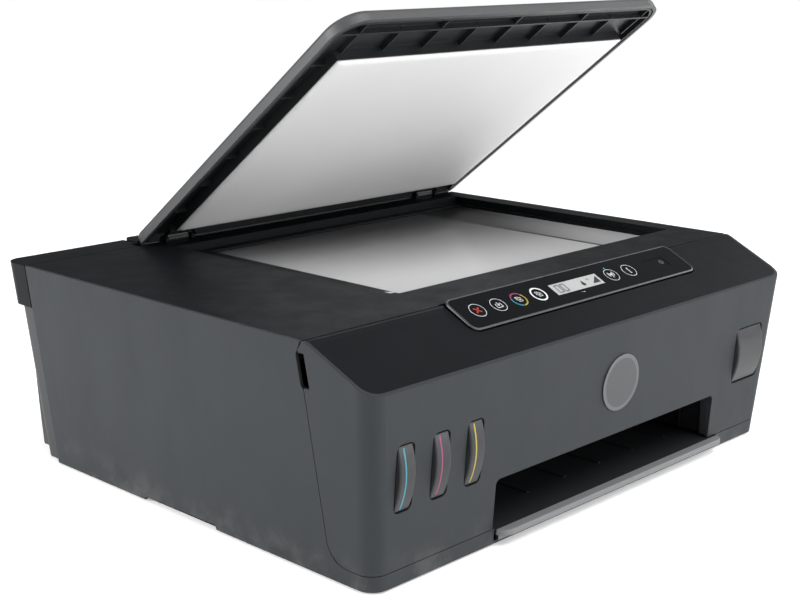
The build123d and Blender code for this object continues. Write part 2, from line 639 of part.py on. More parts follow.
def platen():
    """The ribbed bed that the sheet crosses under the print heads."""
    bed = span((-128.0, 146.0), (-58.0, 26.0), (40.0, 44.0))
    for x in range(-120, 141, 20):
        bed += span((x, x + 1.6), (-56.0, 24.0), (43.8, 46.0))
    return bed + span((-128.0, 146.0), (-2.0, 2.0), (30.0, 41.0))


def rail_frame():
    """The folded steel beam behind the carriage."""
    beam = span((-201.0, 201.0), (20.0, 21.6), (56.0, 106.0))
    beam += span((-201.0, 201.0), (8.6, 21.6), (104.4, 106.0))
    beam += span((-201.0, 201.0), (20.0, 30.0), (56.0, 57.6))
    for x in PULLEY_X:
        beam -= Pos(x, 20.8, BELT_Z) * Rot(90, 0, 0) * Cylinder(2.0, 6)
    return beam


def guide_rods():
    """Ground steel rods: one under the carriage, one under the scan bar."""
    carriage_rod = rod_x((-206.0, 206.0), ROD_Y, ROD_Z, ROD_R)
    return Compound([carriage_rod, rod_x(SCAN_ROD_X, SCAN_ROD_Y, SCAN_ROD_Z, SCAN_ROD_R)])


def print_carriage():
    """The sledge that carries the print heads, parked at the right."""
    x = CARRIAGE_X
    body = span(x, (-54.0, 9.6), (49.0, 88.0))
    body = soften(body, body.edges().filter_by(Axis.Z), 3.0)
    for low in (x[0] + 3.0, x[0] + 32.6):
        body -= span((low, low + 26.4), (-51.0, -6.0), (52.0, 120.0))
        body -= span((low + 6, low + 20.4), (-40.0, -16.0), (40.0, 60.0))
    body += span((x[0] + 24, x[0] + 38), (9.0, 11.8), (78.0, 87.6))
    return body - rod_x((x[0] - 5, x[1] + 5), ROD_Y, ROD_Z, ROD_R + RUNNING_FIT)


def print_heads():
    """Colour and black heads, side by side in the carriage."""
    heads = []
    for low in (CARRIAGE_X[0] + 3.3, CARRIAGE_X[0] + 32.9):
        head = span((low, low + 25.8), (-50.6, -6.4), (52.4, 84.0))
        head = soften(head, head.edges().filter_by(Axis.Z), 1.5)
        head += span((low + 6.2, low + 19.4), (-39.6, -16.4), (48.0, 53.0))
        heads.append(head)
    return Compound(heads)


def carriage_latch():
    """The lever that clamps both heads."""
    x = (CARRIAGE_X[0] + 4.0, CARRIAGE_X[1] - 4.0)
    lever = span(x, (-30.0, -6.0), (88.6, 91.0)) + rod_x(x, -4.6, 89.9, 1.9)
    return soften(lever, lever.edges().filter_by(Axis.Z), 1.5)


def carriage_belt():
    """A toothed belt, drawn as a plain loop between its two pulleys."""
    def loop(grow):
        radius = PULLEY_R + grow
        straight = Rectangle(PULLEY_X[1] - PULLEY_X[0], 2 * radius)
        return straight + Pos(PULLEY_X[0]) * Circle(radius) + Pos(PULLEY_X[1]) * Circle(radius)
    ring = Plane.XZ * (loop(1.5) - loop(0.35))
    return Pos(0, BELT_Y[1], BELT_Z) * extrude(ring, amount=BELT_Y[1] - BELT_Y[0])


def belt_pulley(x):
    """A pulley on a pin that stands out of the beam."""
    wheel = Cylinder(PULLEY_R, BELT_Y[1] - BELT_Y[0] + 0.4) - Cylinder(1.5 + RUNNING_FIT, 20)
    return Pos(x, sum(BELT_Y) / 2, BELT_Z) * Rot(90, 0, 0) * wheel


def carriage_motor():
    """The motor behind the beam, and the idler's pin as a solid of its own."""
    def pin(y, radius, x):
        return Pos(x, sum(y) / 2, BELT_Z) * Rot(90, 0, 0) * Cylinder(radius, y[1] - y[0])
    can = pin((21.7, 45.0), 12.0, PULLEY_X[0])
    can = soften(can, can.edges().filter_by(GeomType.CIRCLE), 1.2)
    can += pin((10.0, 22.0), 1.5, PULLEY_X[0])
    idler = pin((10.0, 23.0), 1.5, PULLEY_X[1]) + pin((21.7, 23.4), 3.2, PULLEY_X[1])
    return Compound([can, idler])


def service_station():
    """The parking bay that caps and wipes the heads."""
    bay = span((157.0, 201.0), (-52.0, -2.0), (3.6, 40.0))
    bay = soften(bay, bay.edges().filter_by(Axis.Z), 2.0)
    for x in (165.0, 187.0):
        cup = Pos(x, -28.0, 42.0) * Box(14, 26, 5) - Pos(x, -28.0, 44.5) * Box(11, 23, 5)
        bay += cup
    return bay


# ---- ink ----
def window_bulge(z, reach):
    """How far a tank's window stands forward at one height, as a y coordinate."""
    low, high = WINDOW_Z[0] + WINDOW_GAP, WINDOW_Z[1] - WINDOW_GAP
    share = (z - low) / (high - low)
    return front_y(z) + 0.7 - reach * math.sin(math.pi * min(max(share, 0), 1)) ** 0.9


def ink_tank(name):
    """A moulded tank whose curved window stands out through the front door."""
    wide = BLACK_WINDOW if name == "black" else COLOUR_WINDOW
    x = TANK_X[name]
    body_x = (x + TANK_SHIFT[name] - TANK_WIDTH[name] / 2, x + TANK_SHIFT[name] + TANK_WIDTH[name] / 2)
    body = span(body_x, TANK_Y, TANK_Z)
    body = soften(body, body.edges().filter_by(Axis.Z), 3.0)
    low, high = WINDOW_Z[0] + WINDOW_GAP, WINDOW_Z[1] - WINDOW_GAP
    steps = 6
    heights = [low + (high - low) * step / steps for step in range(steps + 1)]
    face = [(window_bulge(z, 4.2), z) for z in heights]
    curve = Spline(*[(y, z) for y, z in face])
    edge = Polyline(face[-1], (TANK_Y[0] + 3, high), (TANK_Y[0] + 3, low), face[0])
    profile = Plane.YZ * make_face(curve + edge)
    half = wide / 2 - WINDOW_GAP
    window = Pos(x - half, 0, 0) * extrude(profile, amount=2 * half, dir=(1, 0, 0))
    window = soften(window, [e for e in window.edges() if e.geom_type != GeomType.LINE], 1.3)
    neck_x = x + TANK_SHIFT[name]
    body += window
    body += Pos(neck_x, -152.0, 95.5) * Cylinder(7.0, 4.0)
    for side in (-1, 1):
        cheek = sorted((neck_x + side * 5.4, neck_x + side * 8.0))
        body += side_profile([(-139.4, 93.8), (-132.6, 93.8), (-133.6, 101.8), (-138.4, 101.8)], cheek)
    body -= rod_x((neck_x - 9, neck_x + 9), CAP_AXIS_Y, CAP_AXIS_Z, 1.3)
    body -= Pos(neck_x, -152.0, 92.0) * Cylinder(4.6, 14.0)
    hollow = span((body_x[0] + 1.8, body_x[1] - 1.8), (TANK_Y[0] + 2.0, TANK_Y[1] - 1.8),
                  (TANK_Z[0] + 1.8, TANK_Z[1] - 2.0))
    return body - hollow


def tank_cap(name):
    """The hinged stopper on a tank's filler."""
    x = TANK_X[name] + TANK_SHIFT[name]
    plate = span((x - 4.8, x + 4.8), (-164.0, -137.0), (98.2, 101.0))
    plate += Pos(x, -152.0, 99.6) * Cylinder(8.2, 2.8)
    plate = soften(plate, plate.edges().filter_by(Axis.Z).group_by(Axis.Y)[0], 2.0)
    plate += Pos(x, -152.0, 96.0) * Cylinder(3.9, 5.0)
    plate += rod_x((x - 4.8, x + 4.8), CAP_AXIS_Y, CAP_AXIS_Z, 2.2)
    return plate + rod_x((x - 7.6, x + 7.6), CAP_AXIS_Y, CAP_AXIS_Z, 1.3 - RUNNING_FIT)


def ink_tubes():
    """Four feed tubes from the tanks to the middle of the machine."""
    tubes = []
    for lane, name in enumerate(TANK_NAMES):
        x = TANK_X[name] + TANK_SHIFT[name]
        y = -78.0 + 4.0 * lane
        z = 100.0
        points = [(x, TANK_Y[1] + 0.05, 58.0), (x, y, 58.0), (x, y, z), (lane * 4.0, y, z)]
        path = FilletPolyline(*points, radius=7.0)
        tube = sweep(Plane(origin=path @ 0, z_dir=path % 0) * Circle(1.4), path=path)
        tubes.append(tube)
    return Compound([tube.solid() for tube in tubes])


# ---- electrics, feet and fasteners ----
def main_board():
    board = span((-190.0, -60.0), (152.0, 153.6), (14.0, 96.0))
    board += span((-149.4, -136.6), (153.4, back_y(30, 3.6)), (24.6, 36.4))
    for x, z, wide, tall in ((-120, 60, 22, 22), (-80, 40, 14, 20), (-170, 76, 16, 10)):
        board += span((x, x + wide), (150.0, 152.2), (z, z + tall))
    return board - span((-146.4, -139.6), (160.0, 200.0), (27.0, 34.0))


def power_module():
    brick = span((-56.0, 60.0), (110.0, 150.0), (18.0, 52.0))
    return soften(brick, brick.edges().filter_by(Axis.Z), 2.0)


def power_inlet():
    """The two-pin mains inlet in the back."""
    shell = span((-195.4, -166.6), (158.0, back_y(30, 1.6)), (20.6, 41.4))
    hollow = span((-192.6, -169.4), (166.0, 220.0), (24.0, 38.0))
    inlet = shell - hollow
    for x in (-186.0, -176.0):
        inlet += Pos(x, 169.4, 31.0) * Rot(90, 0, 0) * Cylinder(1.2, 7.6)
    return inlet


def feet():
    """Rubber feet under the floor pan."""
    pads = []
    for x, y in FEET:
        pads.append(Pos(x, y, (BASE_Z + 0.1) / 2) * Cylinder(FOOT_R, BASE_Z + 0.1))
    return Compound(pads)


def screws():
    """Pan-head screws that hold the floor pan."""
    heads = []
    for x in (-120.0, 160.0):
        for y in (80.0, 110.0):
            heads.append(Pos(x, y, 4.4) * Cylinder(3.0, 2.0))
    return Compound(heads)


def build():
    add("outer_casing", outer_casing())
    add("base_chassis", base_chassis())
    add("rear_cover", rear_cover())
    add("rear_top_cover", rear_top_cover())
    add("front_door", front_door())
    add("fascia", fascia())
    add("control_panel", control_panel())
    add("display_window", display_window())
    add("control_board", control_board())
    add("front_badge", front_badge())
    for name, x in ROUND_BUTTONS.items():
        add(name, panel_button(x))
    add("power_button", power_button())
    add("scanner_top_frame", scanner_top_frame())
    add("scanner_glass", scanner_glass())
    add("scanner_tray", scanner_tray())
    add("scan_bar", scan_bar())
    add("lid_shell", lid_shell())
    add("lid_inner_frame", lid_inner_frame())
    add("lid_pad", lid_pad())
    add("hinge_arms", hinge_arms())
    add("hinge_pins", hinge_pins())
    add("output_tray", output_tray())
    add("tray_extender", tray_extender())
    add("paper_support", paper_support())
    add("paper_guide_left", paper_guide(-1))
    add("paper_guide_right", paper_guide(1))
    for name in TANK_NAMES:
        add("ink_tank_" + name, ink_tank(name))
        add("tank_cap_" + name, tank_cap(name))
    add("ink_tubes", ink_tubes())
    add("print_carriage", print_carriage())
    add("print_heads", print_heads())
    add("carriage_latch", carriage_latch())
    add("guide_rods", guide_rods())
    add("rail_frame", rail_frame())
    add("carriage_belt", carriage_belt())
    add("motor_pulley", belt_pulley(-187.0))
    add("idler_pulley", belt_pulley(187.0))
    add("carriage_motor", carriage_motor())
    add("feed_roller", feed_roller())
    add("feed_pinion", feed_pinion())
    add("feed_motor", feed_motor())
    add("output_roller", output_roller())
    add("platen", platen())
    add("service_station", service_station())
    add("main_board", main_board())
    add("power_module", power_module())
    add("power_inlet", power_inlet())
    add("feet", feet())
    add("screws", screws())


build()
os.makedirs("parts", exist_ok=True)
for node, shape in PARTS.items():
    export_step(shape, "parts/" + node + ".step")
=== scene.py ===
"""Looks for a tank-fed inkjet printer, scanner and copier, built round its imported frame."""

import json
import math

import bmesh
import bpy
from bpy.props import FloatProperty, FloatVectorProperty, IntProperty, PointerProperty
from mathutils import Matrix, Vector
from mathutils.bvhtree import BVHTree


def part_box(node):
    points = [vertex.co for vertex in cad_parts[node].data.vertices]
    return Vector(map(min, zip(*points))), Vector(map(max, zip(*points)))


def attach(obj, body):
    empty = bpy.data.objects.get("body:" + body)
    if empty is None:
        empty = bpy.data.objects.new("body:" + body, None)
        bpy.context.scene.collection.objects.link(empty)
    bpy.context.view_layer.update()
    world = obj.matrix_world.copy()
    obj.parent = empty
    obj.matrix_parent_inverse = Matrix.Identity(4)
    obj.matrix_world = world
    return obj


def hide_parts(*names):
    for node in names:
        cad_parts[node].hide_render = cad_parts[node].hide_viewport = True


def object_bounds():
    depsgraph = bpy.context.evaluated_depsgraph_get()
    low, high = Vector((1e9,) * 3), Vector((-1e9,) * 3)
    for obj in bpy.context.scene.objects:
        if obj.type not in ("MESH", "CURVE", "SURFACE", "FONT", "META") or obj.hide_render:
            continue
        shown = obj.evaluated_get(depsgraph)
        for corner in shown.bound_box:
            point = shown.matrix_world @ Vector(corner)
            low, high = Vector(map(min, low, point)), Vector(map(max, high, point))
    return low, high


bl_info = {
    "name": "Tank printer looks",
    "version": (1, 0, 0),
    "blender": (4, 5, 0),
    "location": "3D View > Sidebar > Printer",
    "description": "Finishes, printed marks, tank windows, lid mat and studio for the printer",
    "category": "Object",
}

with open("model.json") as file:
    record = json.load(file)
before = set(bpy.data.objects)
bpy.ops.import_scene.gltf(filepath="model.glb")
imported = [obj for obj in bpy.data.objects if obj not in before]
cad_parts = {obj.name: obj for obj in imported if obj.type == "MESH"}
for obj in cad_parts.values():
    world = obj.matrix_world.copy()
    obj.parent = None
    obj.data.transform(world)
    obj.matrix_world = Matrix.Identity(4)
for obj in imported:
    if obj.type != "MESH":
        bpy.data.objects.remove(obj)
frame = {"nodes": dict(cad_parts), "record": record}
CAD_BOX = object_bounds()
NODES = frame["nodes"]
RECORD = frame["record"]
MM = 0.001
COLOURS = ("cyan", "magenta", "yellow")
TANKS = COLOURS + ("black",)
# The pale window of the pane is a painted reflection of the lid mat; these are its corners.
PANE_LOW = (-0.0755, -0.0840)  # corner of the pale window of the pane, left and front
PANE_HIGH = (0.1493, 0.1335)  # corner of the pale window of the pane, right and back
SPECULAR = "Specular IOR Level"
MIX_SHARE, MIX_FIRST, MIX_SECOND, MIX_COLOUR = 0, 6, 7, 2  # a Mix node's sockets for colours
RUBBED = 1.12  # how much lighter the rubbed specks of a moulding are
LAMP_RADIUS = 0.54 * MM
ALERT_RADIUS = 0.36 * MM


# ---- geometry helpers -------------------------------------------------------------------


def joint_named(name):
    """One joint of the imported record."""
    return next(j for j in RECORD["behaviour"]["joints"] if j["name"] == name)


def node_corners(name):
    """A CAD node's vertices, in metres."""
    return [v.co.copy() for v in NODES[name].data.vertices]


def facing_patch(name, normal):
    """The middle and half sizes of the furthest flat patch that faces along a normal."""
    normal = normal.normalized()
    across = Vector((1, 0, 0))
    up = normal.cross(across).normalized()
    points = node_corners(name)
    top = max(p.dot(normal) for p in points)
    patch = [p for p in points if p.dot(normal) > top - 0.00008]
    spans = []
    for axis in (across, up):
        values = [p.dot(axis) for p in patch]
        spans.append((min(values), max(values)))
    middle = across * sum(spans[0]) / 2 + up * sum(spans[1]) / 2 + normal * top
    half = [(high - low) / 2 for low, high in spans]
    return Seat(middle, across, up, normal), half


class Seat:
    """A place on a surface: a middle and three directions, to draw flat shapes on."""

    def __init__(self, middle, across, up, normal):
        self.middle = middle
        self.across = across
        self.up = up
        self.normal = normal

    def at(self, x, y, lift=0.0):
        return self.middle + self.across * x + self.up * y + self.normal * lift

    def moved(self, x, y, lift=0.0):
        return Seat(self.at(x, y, lift), self.across, self.up, self.normal)


def new_piece(name, mesh_maker, body, finish, smooth=False):
    """Make a mesh object with bmesh, give it a finish and let it ride on a body."""
    shape = bmesh.new()
    mesh_maker(shape)
    bmesh.ops.recalc_face_normals(shape, faces=shape.faces)
    mesh = bpy.data.meshes.new(name)
    shape.to_mesh(mesh)
    shape.free()
    piece = bpy.data.objects.new(name, mesh)
    bpy.context.scene.collection.objects.link(piece)
    mesh.materials.append(finish)
    for face in mesh.polygons:
        face.use_smooth = smooth
    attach(piece, body)
    return piece


def printed(seat, outlines, lift, thick):
    """A mesh maker for flat printed shapes: each outline becomes a thin closed plate."""

    def make(shape):
        for points in outlines:
            low = [shape.verts.new(seat.at(x, y, lift)) for x, y in points]
            high = [shape.verts.new(seat.at(x, y, lift + thick)) for x, y in points]
            shape.faces.new(high)
            shape.faces.new(list(reversed(low)))
            for here in range(len(points)):
                there = (here + 1) % len(points)
                shape.faces.new((low[here], low[there], high[there], high[here]))

    return make


def band(radius, width, start=0.0, stop=360.0, steps=48, middle=(0.0, 0.0)):
    """An arc of even width, as a row of four-sided outlines."""
    outlines = []
    count = max(3, round(steps * abs(stop - start) / 360))
    turns = [math.radians(start + (stop - start) * step / count) for step in range(count + 1)]
    for here, there in zip(turns, turns[1:]):
        quad = []
        for angle, reach in ((here, -1), (there, -1), (there, 1), (here, 1)):
            far = radius + reach * width / 2
            quad.append((middle[0] + far * math.cos(angle), middle[1] + far * math.sin(angle)))
        outlines.append(quad)
    return outlines


def stroke(start, stop, width):
    """A straight bar between two points."""
    along = Vector(stop) - Vector(start)
    side = Vector((-along.y, along.x)).normalized() * width / 2
    a, b = Vector(start), Vector(stop)
    return [tuple(a - side), tuple(b - side), tuple(b + side), tuple(a + side)]


def path_strokes(points, width, closed=False):
    """Bars along a run of points."""
    pairs = list(zip(points, points[1:]))
    if closed:
        pairs.append((points[-1], points[0]))
    return [stroke(a, b, width) for a, b in pairs]


def scaled(outlines, size, shift=(0.0, 0.0)):
    """Outlines made larger or smaller, then moved."""
    return [[(x * size + shift[0], y * size + shift[1]) for x, y in outline] for outline in outlines]


def dot_shape(radius):
    """A filled round dot, drawn as a band that reaches its own middle."""
    return scaled(band(0.3, 0.6, steps=16), radius / 0.6)


def print_on(name, seat, outlines, body, ink):
    """Print flat shapes on a seat, as a thin piece that rides on a body."""
    marks = bpy.context.scene.printer_marks
    return new_piece(name, printed(seat, outlines, marks.lift, marks.thick), body, ink)


def surface_of(name):
    """A CAD node's surface, to lay thin pieces on."""
    mesh = NODES[name].data
    points = [v.co.copy() for v in mesh.vertices]
    faces = [tuple(p.vertices) for p in mesh.polygons]
    return BVHTree.FromPolygons(points, faces)


# ---- material helpers -------------------------------------------------------------------


class Value:
    """One socket, so that shader maths reads as plain expressions."""

    def __init__(self, board, socket):
        self.board = board
        self.socket = socket

    def _math(self, operation, *others):
        values = {0: self}
        values.update({place + 1: other for place, other in enumerate(others)})
        return self.board.add("ShaderNodeMath", {"operation": operation}, values).out()

    def __add__(self, other):
        return self._math("ADD", other)

    __radd__ = __add__

    def __mul__(self, other):
        return self._math("MULTIPLY", other)

    __rmul__ = __mul__

    def __sub__(self, other):
        return self._math("SUBTRACT", other)

    def __rsub__(self, other):
        return self._math("MULTIPLY_ADD", -1.0, other)

    def __pow__(self, other):
        return self._math("POWER", other)

    def above(self, level):
        return self._math("GREATER_THAN", level)

    def below(self, level):
        return self._math("LESS_THAN", level)

    def capped(self):
        """Held between 0 and 1."""
        return self.board.add("ShaderNodeClamp", {}, {"Value": self}).out()

    def eased(self, low, high, start=0.0, stop=1.0):
        """A smooth step from one level to another."""
        sockets = {"Value": self, "From Min": low, "From Max": high, "To Min": start, "To Max": stop}
        return self.board.add("ShaderNodeMapRange", {"interpolation_type": "SMOOTHSTEP"}, sockets).out()


class Made:
    """One node, whose outputs are taken by name or place."""

    def __init__(self, board, node):
        self.board = board
        self.node = node

    def out(self, key=0):
        return Value(self.board, self.node.outputs[key])


class Board:
    """A node tree under construction, for a material or the world."""

    def __init__(self, owner):
        self.material = owner
        self.material.use_nodes = True
        self.tree = self.material.node_tree
        self.tree.nodes.clear()

    def add(self, kind, settings, sockets):
        """Any node: its settings first, then the values or links of its sockets."""
        node = self.tree.nodes.new(kind)
        for key, value in settings.items():
            setattr(node, key, value)
        made = Made(self, node)
        for key, value in sockets.items():
            self.feed(node.inputs[key], value)
        return made

    def feed(self, socket, value):
        """Link a value to a socket, or set a constant on it."""
        if isinstance(value, Value):
            self.tree.links.new(value.socket, socket)
        elif socket.type == "RGBA":
            socket.default_value = (*tuple(value)[:3], 1.0)
        else:
            socket.default_value = value


class Finish(Board):
    """A material under construction, with one shader."""

    def __init__(self, name, **constants):
        super().__init__(bpy.data.materials.new(name))
        self.shader = self.add("ShaderNodeBsdfPrincipled", {}, {})
        self.set(**constants)
        self.add("ShaderNodeOutputMaterial", {}, {"Surface": self.shader.out()})

    def set(self, **sockets):
        """Feed the shader's own sockets; underscores stand for spaces."""
        for key, value in sockets.items():
            name = SPECULAR if key == "Specular" else key.replace("_", " ")
            self.feed(self.shader.node.inputs[name], value)

    def place(self):
        """The point's own place on the object, in metres."""
        return self.add("ShaderNodeTexCoord", {}, {}).out("Object")

    def axes(self):
        """The same place, as three values."""
        parts = self.add("ShaderNodeSeparateXYZ", {}, {"Vector": self.place()})
        return parts.out("X"), parts.out("Y"), parts.out("Z")

    def noise(self, scale, detail=3.0, roughness=0.55, stretch=None):
        """Soft noise on the object, stretched along an axis where asked."""
        vector = self.place()
        if stretch:
            pulled = self.add("ShaderNodeVectorMath", {"operation": "MULTIPLY"}, {0: vector, 1: stretch})
            vector = pulled.out()
        sockets = {"Vector": vector, "Scale": scale, "Detail": detail, "Roughness": roughness}
        return self.add("ShaderNodeTexNoise", {}, sockets).out(0)

    def grain(self, scale):
        """Small rounded cells, as on spark-eroded plastic."""
        sockets = {"Vector": self.place(), "Scale": scale}
        return self.add("ShaderNodeTexVoronoi", {"feature": "SMOOTH_F1"}, sockets).out("Distance")

    def mix(self, share, first, second):
        """A colour between two colours."""
        sockets = {MIX_SHARE: share, MIX_FIRST: first, MIX_SECOND: second}
        return self.add("ShaderNodeMix", {"data_type": "RGBA"}, sockets).out(MIX_COLOUR)

    def rounded_edges(self, radius, samples=4):
        """Soften sharp moulded edges in the normal."""
        return self.add("ShaderNodeBevel", {"samples": samples}, {"Radius": radius}).out()

    def bump(self, height, depth, strength=1.0, normal=None):
        """Relief of a depth in metres, over a normal where there is one."""
        sockets = {"Height": height, "Distance": depth, "Strength": strength}
        if normal is not None:
            sockets["Normal"] = normal
        return self.add("ShaderNodeBump", {}, sockets).out()


def shade(colour, gain):
    """A colour made lighter or darker."""
    return tuple(min(1.0, max(0.0, c * gain)) for c in colour)


def moulded_plastic(name, colour, roughness=0.5, grain=2600.0, depth=0.00004, edge=0.0005,
                    specular=0.4):
    """Spark-textured plastic: fine grain, faint mottling, lighter specks and rounded edges."""
    finish = Finish(name, Specular=specular)
    mottle = finish.noise(14.0, 4.0)
    tone = finish.mix(mottle.eased(0.35, 0.65), shade(colour, 0.95), shade(colour, 1.06))
    fine = finish.noise(900.0, 2.0)
    tone = finish.mix(fine.eased(0.3, 0.7) * 0.35, tone, shade(colour, RUBBED))
    smudge = finish.noise(32.0, 5.0, 0.65, (1.0, 1.0, 0.4))
    gloss = smudge.eased(0.3, 0.75, roughness - 0.05, roughness + 0.07)
    relief = finish.bump(finish.grain(grain), depth, 0.5, finish.rounded_edges(edge))
    finish.set(Base_Color=tone, Roughness=gloss, Normal=relief)
    return finish.material


def metal(name, colour, roughness=0.28, brushed=(1.0, 60.0, 60.0)):
    """Ground or plated steel with fine marks along X."""
    finish = Finish(name, Metallic=1.0)
    marks = finish.noise(220.0, 3.0, 0.6, brushed)
    tone = finish.mix(marks.eased(0.3, 0.7), shade(colour, 0.85), shade(colour, 1.1))
    finish.set(Base_Color=tone, Roughness=marks.eased(0.2, 0.8, roughness - 0.06, roughness + 0.12))
    finish.set(Normal=finish.bump(marks, 0.00003, 0.4))
    return finish.material


def ink_print(name, colour, roughness=0.35, glow=0.0):
    """Printed or lit marks."""
    finish = Finish(name, Roughness=roughness)
    wear = finish.noise(1800.0, 2.0)
    tone = finish.mix(wear.eased(0.3, 0.75), colour, shade(colour, 0.86))
    finish.set(Base_Color=tone)
    if glow:
        finish.set(Emission_Color=colour, Emission_Strength=glow)
    return finish.material


def shaft_and_tyre(name, tyre, steel, centre, limit):
    """Rubber beyond a radius about a line along X, and steel inside it."""
    finish = Finish(name, Specular=0.35)
    y, z = finish.axes()[1:]
    far = ((y - centre[0]) ** 2 + (z - centre[1]) ** 2) ** 0.5
    rubber = far.above(limit)
    ridges = finish.noise(500.0, 2.0, 0.5, (0.2, 1.0, 1.0))
    finish.set(
        Base_Color=finish.mix(rubber, steel, finish.mix(ridges, shade(tyre, 0.8), shade(tyre, 1.25))),
        Metallic=1 - rubber,
        Roughness=rubber * 0.45 + 0.3,
        Normal=finish.bump(ridges, 0.0001, 0.4),
    )
    return finish.material


def case_finish(colours):
    """The grey textured casing: rounded along its moulded edges and a little dusty near the table."""
    finish = Finish("case_grey_texture", Specular=0.15)
    colour = tuple(colours.case)
    z = finish.axes()[2]
    mottle = finish.noise(11.0, 4.0)
    tone = finish.mix(mottle.eased(0.35, 0.65), shade(colour, 0.96), shade(colour, 1.04))
    specks = finish.noise(1400.0, 2.0, 0.6)
    tone = finish.mix(specks.eased(0.35, 0.75) * 0.5, tone, shade(colour, 1.22))
    dust = z.eased(0.03, 0.0) * finish.noise(60.0, 4.0).eased(0.4, 0.8)
    tone = finish.mix(dust * 0.25, tone, (0.2, 0.19, 0.18))
    gloss = finish.noise(26.0, 5.0, 0.65, (1.0, 1.0, 0.35)).eased(0.3, 0.75, 0.44, 0.56)
    normal = finish.rounded_edges(0.0007, 6)
    relief = finish.bump(finish.grain(2400.0), 0.00004, 0.55, normal)
    finish.set(Base_Color=tone, Roughness=gloss, Normal=relief)
    return finish.material


def pane_finish(colours):
    """The scanner pane: a painted reflection of the lid mat, pale near the front and darker at the back
    in painted shade, with a near-black painted-shade border and a pale painted-reflection strip.
    """
    finish = Finish("scanner_pane", Specular=0.5, IOR=1.5, Coat_Roughness=0.05, Coat_IOR=1.45)
    x, y = finish.axes()[:2]
    pane = tuple(colours.pane)
    inside = (x - PANE_LOW[0]).above(0.0) * (y - PANE_LOW[1]).above(0.0)
    inside = inside * (x - PANE_HIGH[0]).below(0.0) * (y - PANE_HIGH[1]).below(0.0)
    # Painted reflection and painted shade: pale where the lid mat is mirrored near the front, darkening
    # towards the hinge where the lid shades the pane.
    depth = (y + x * 0.35).eased(-0.06, 0.15)
    tone = finish.mix(depth, pane, shade(pane, 0.1))
    # Painted reflection: past the window's right end, a strip lightening towards the front-right stands
    # in for the mat mirrored in the recess wall; the rest outside the window is near-black painted
    # shade.
    painted_gutter_reflection = (x - PANE_HIGH[0]).above(0.004) * (x - y * 0.6).eased(0.11, 0.23)
    painted_border_shade_and_reflection = finish.mix(painted_gutter_reflection, (0.006, 0.006, 0.007), shade(pane, 0.8))
    finish.set(Base_Color=finish.mix(inside, painted_border_shade_and_reflection, tone))
    finish.set(Roughness=finish.noise(14.0, 2.0).eased(0.3, 0.8, 0.29, 0.32), Coat_Weight=inside * 0.15)
    return finish.material


def window_finish(name, colour):
    """A smoked, slightly cloudy tank moulding with a soft gloss."""
    finish = Finish(name, Specular=0.2, Coat_Roughness=0.12)
    streak = finish.noise(60.0, 4.0, 0.6, (1.0, 1.0, 0.5))
    tone = finish.mix(streak.eased(0.3, 0.7), shade(colour, 0.86), shade(colour, 1.12))
    finish.set(Base_Color=tone, Roughness=streak.eased(0.2, 0.8, 0.29, 0.37), Coat_Weight=0.06)
    finish.set(Normal=finish.bump(finish.noise(420.0, 2.0), 0.00004, 0.3, finish.rounded_edges(0.0009)))
    return finish.material


def board_finish():
    """Green circuit board with lighter raised tracks."""
    finish = Finish("board_green_mask", Specular=0.5)
    tracks = finish.noise(160.0, 2.0, 0.4, (1.0, 1.0, 4.0)).above(0.53)
    finish.set(Base_Color=finish.mix(tracks, (0.012, 0.09, 0.04), (0.03, 0.17, 0.07)), Roughness=0.35)
    finish.set(Normal=finish.bump(tracks, 0.00003, 0.4))
    return finish.material


def mat_finish(colours):
    """White film over foam: satin, with a faint pebble."""
    finish = Finish("mat_white_film", Specular=0.3)
    colour = tuple(colours.mat)
    cloud = finish.noise(7.0, 3.0)
    tone = finish.mix(cloud.eased(0.3, 0.7), shade(colour, 0.97), colour)
    pebble = finish.noise(700.0, 3.0, 0.6)
    finish.set(Base_Color=tone, Roughness=pebble.eased(0.3, 0.8, 0.42, 0.55))
    finish.set(Normal=finish.bump(pebble, 0.00003, 0.25))
    return finish.material


def tray_finish():
    """The output tray: dark, with a pale lip along its front edge."""
    finish = Finish("tray_dark_pale_lip", Specular=0.15)
    y = finish.axes()[1]
    lip = (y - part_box("output_tray")[0].y).below(0.007)
    finish.set(Base_Color=finish.mix(lip, (0.015, 0.0165, 0.018), (0.17, 0.175, 0.18)))
    finish.set(Roughness=finish.noise(30.0, 4.0).eased(0.3, 0.8, 0.42, 0.52))
    finish.set(Normal=finish.bump(finish.grain(2600.0), 0.00003, 0.5, finish.rounded_edges(0.0006)))
    return finish.material


def badge_finish():
    """Satin metal turned in rings."""
    finish = Finish("badge_turned_metal", Metallic=1.0)
    low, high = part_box("front_badge")
    middle = (low + high) / 2
    x, y, z = finish.axes()
    far = ((x - middle.x) ** 2 + (z - middle.z) ** 2) ** 0.5
    rings = finish.add("ShaderNodeMath", {"operation": "SINE"}, {0: far * 9000.0}).out()
    rim = far.above(0.0172)
    tone = finish.mix(rim, (0.098, 0.102, 0.106), (0.15, 0.155, 0.16))
    finish.set(Base_Color=tone, Roughness=rim * 0.1 + 0.34, Normal=finish.bump(rings, 0.00001, 0.25))
    return finish.material


def dress(finish, *nodes):
    """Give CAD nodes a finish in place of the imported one."""
    for node in nodes:
        if not NODES[node].material_slots:
            NODES[node].data.materials.append(finish)
        for slot in NODES[node].material_slots:
            slot.material = finish


# ---- what a user can change -------------------------------------------------------------


def colour_property(name, description, default):
    return FloatVectorProperty(name=name, description=description, default=default, subtype="COLOR",
                               size=3, min=0.0, max=1.0)


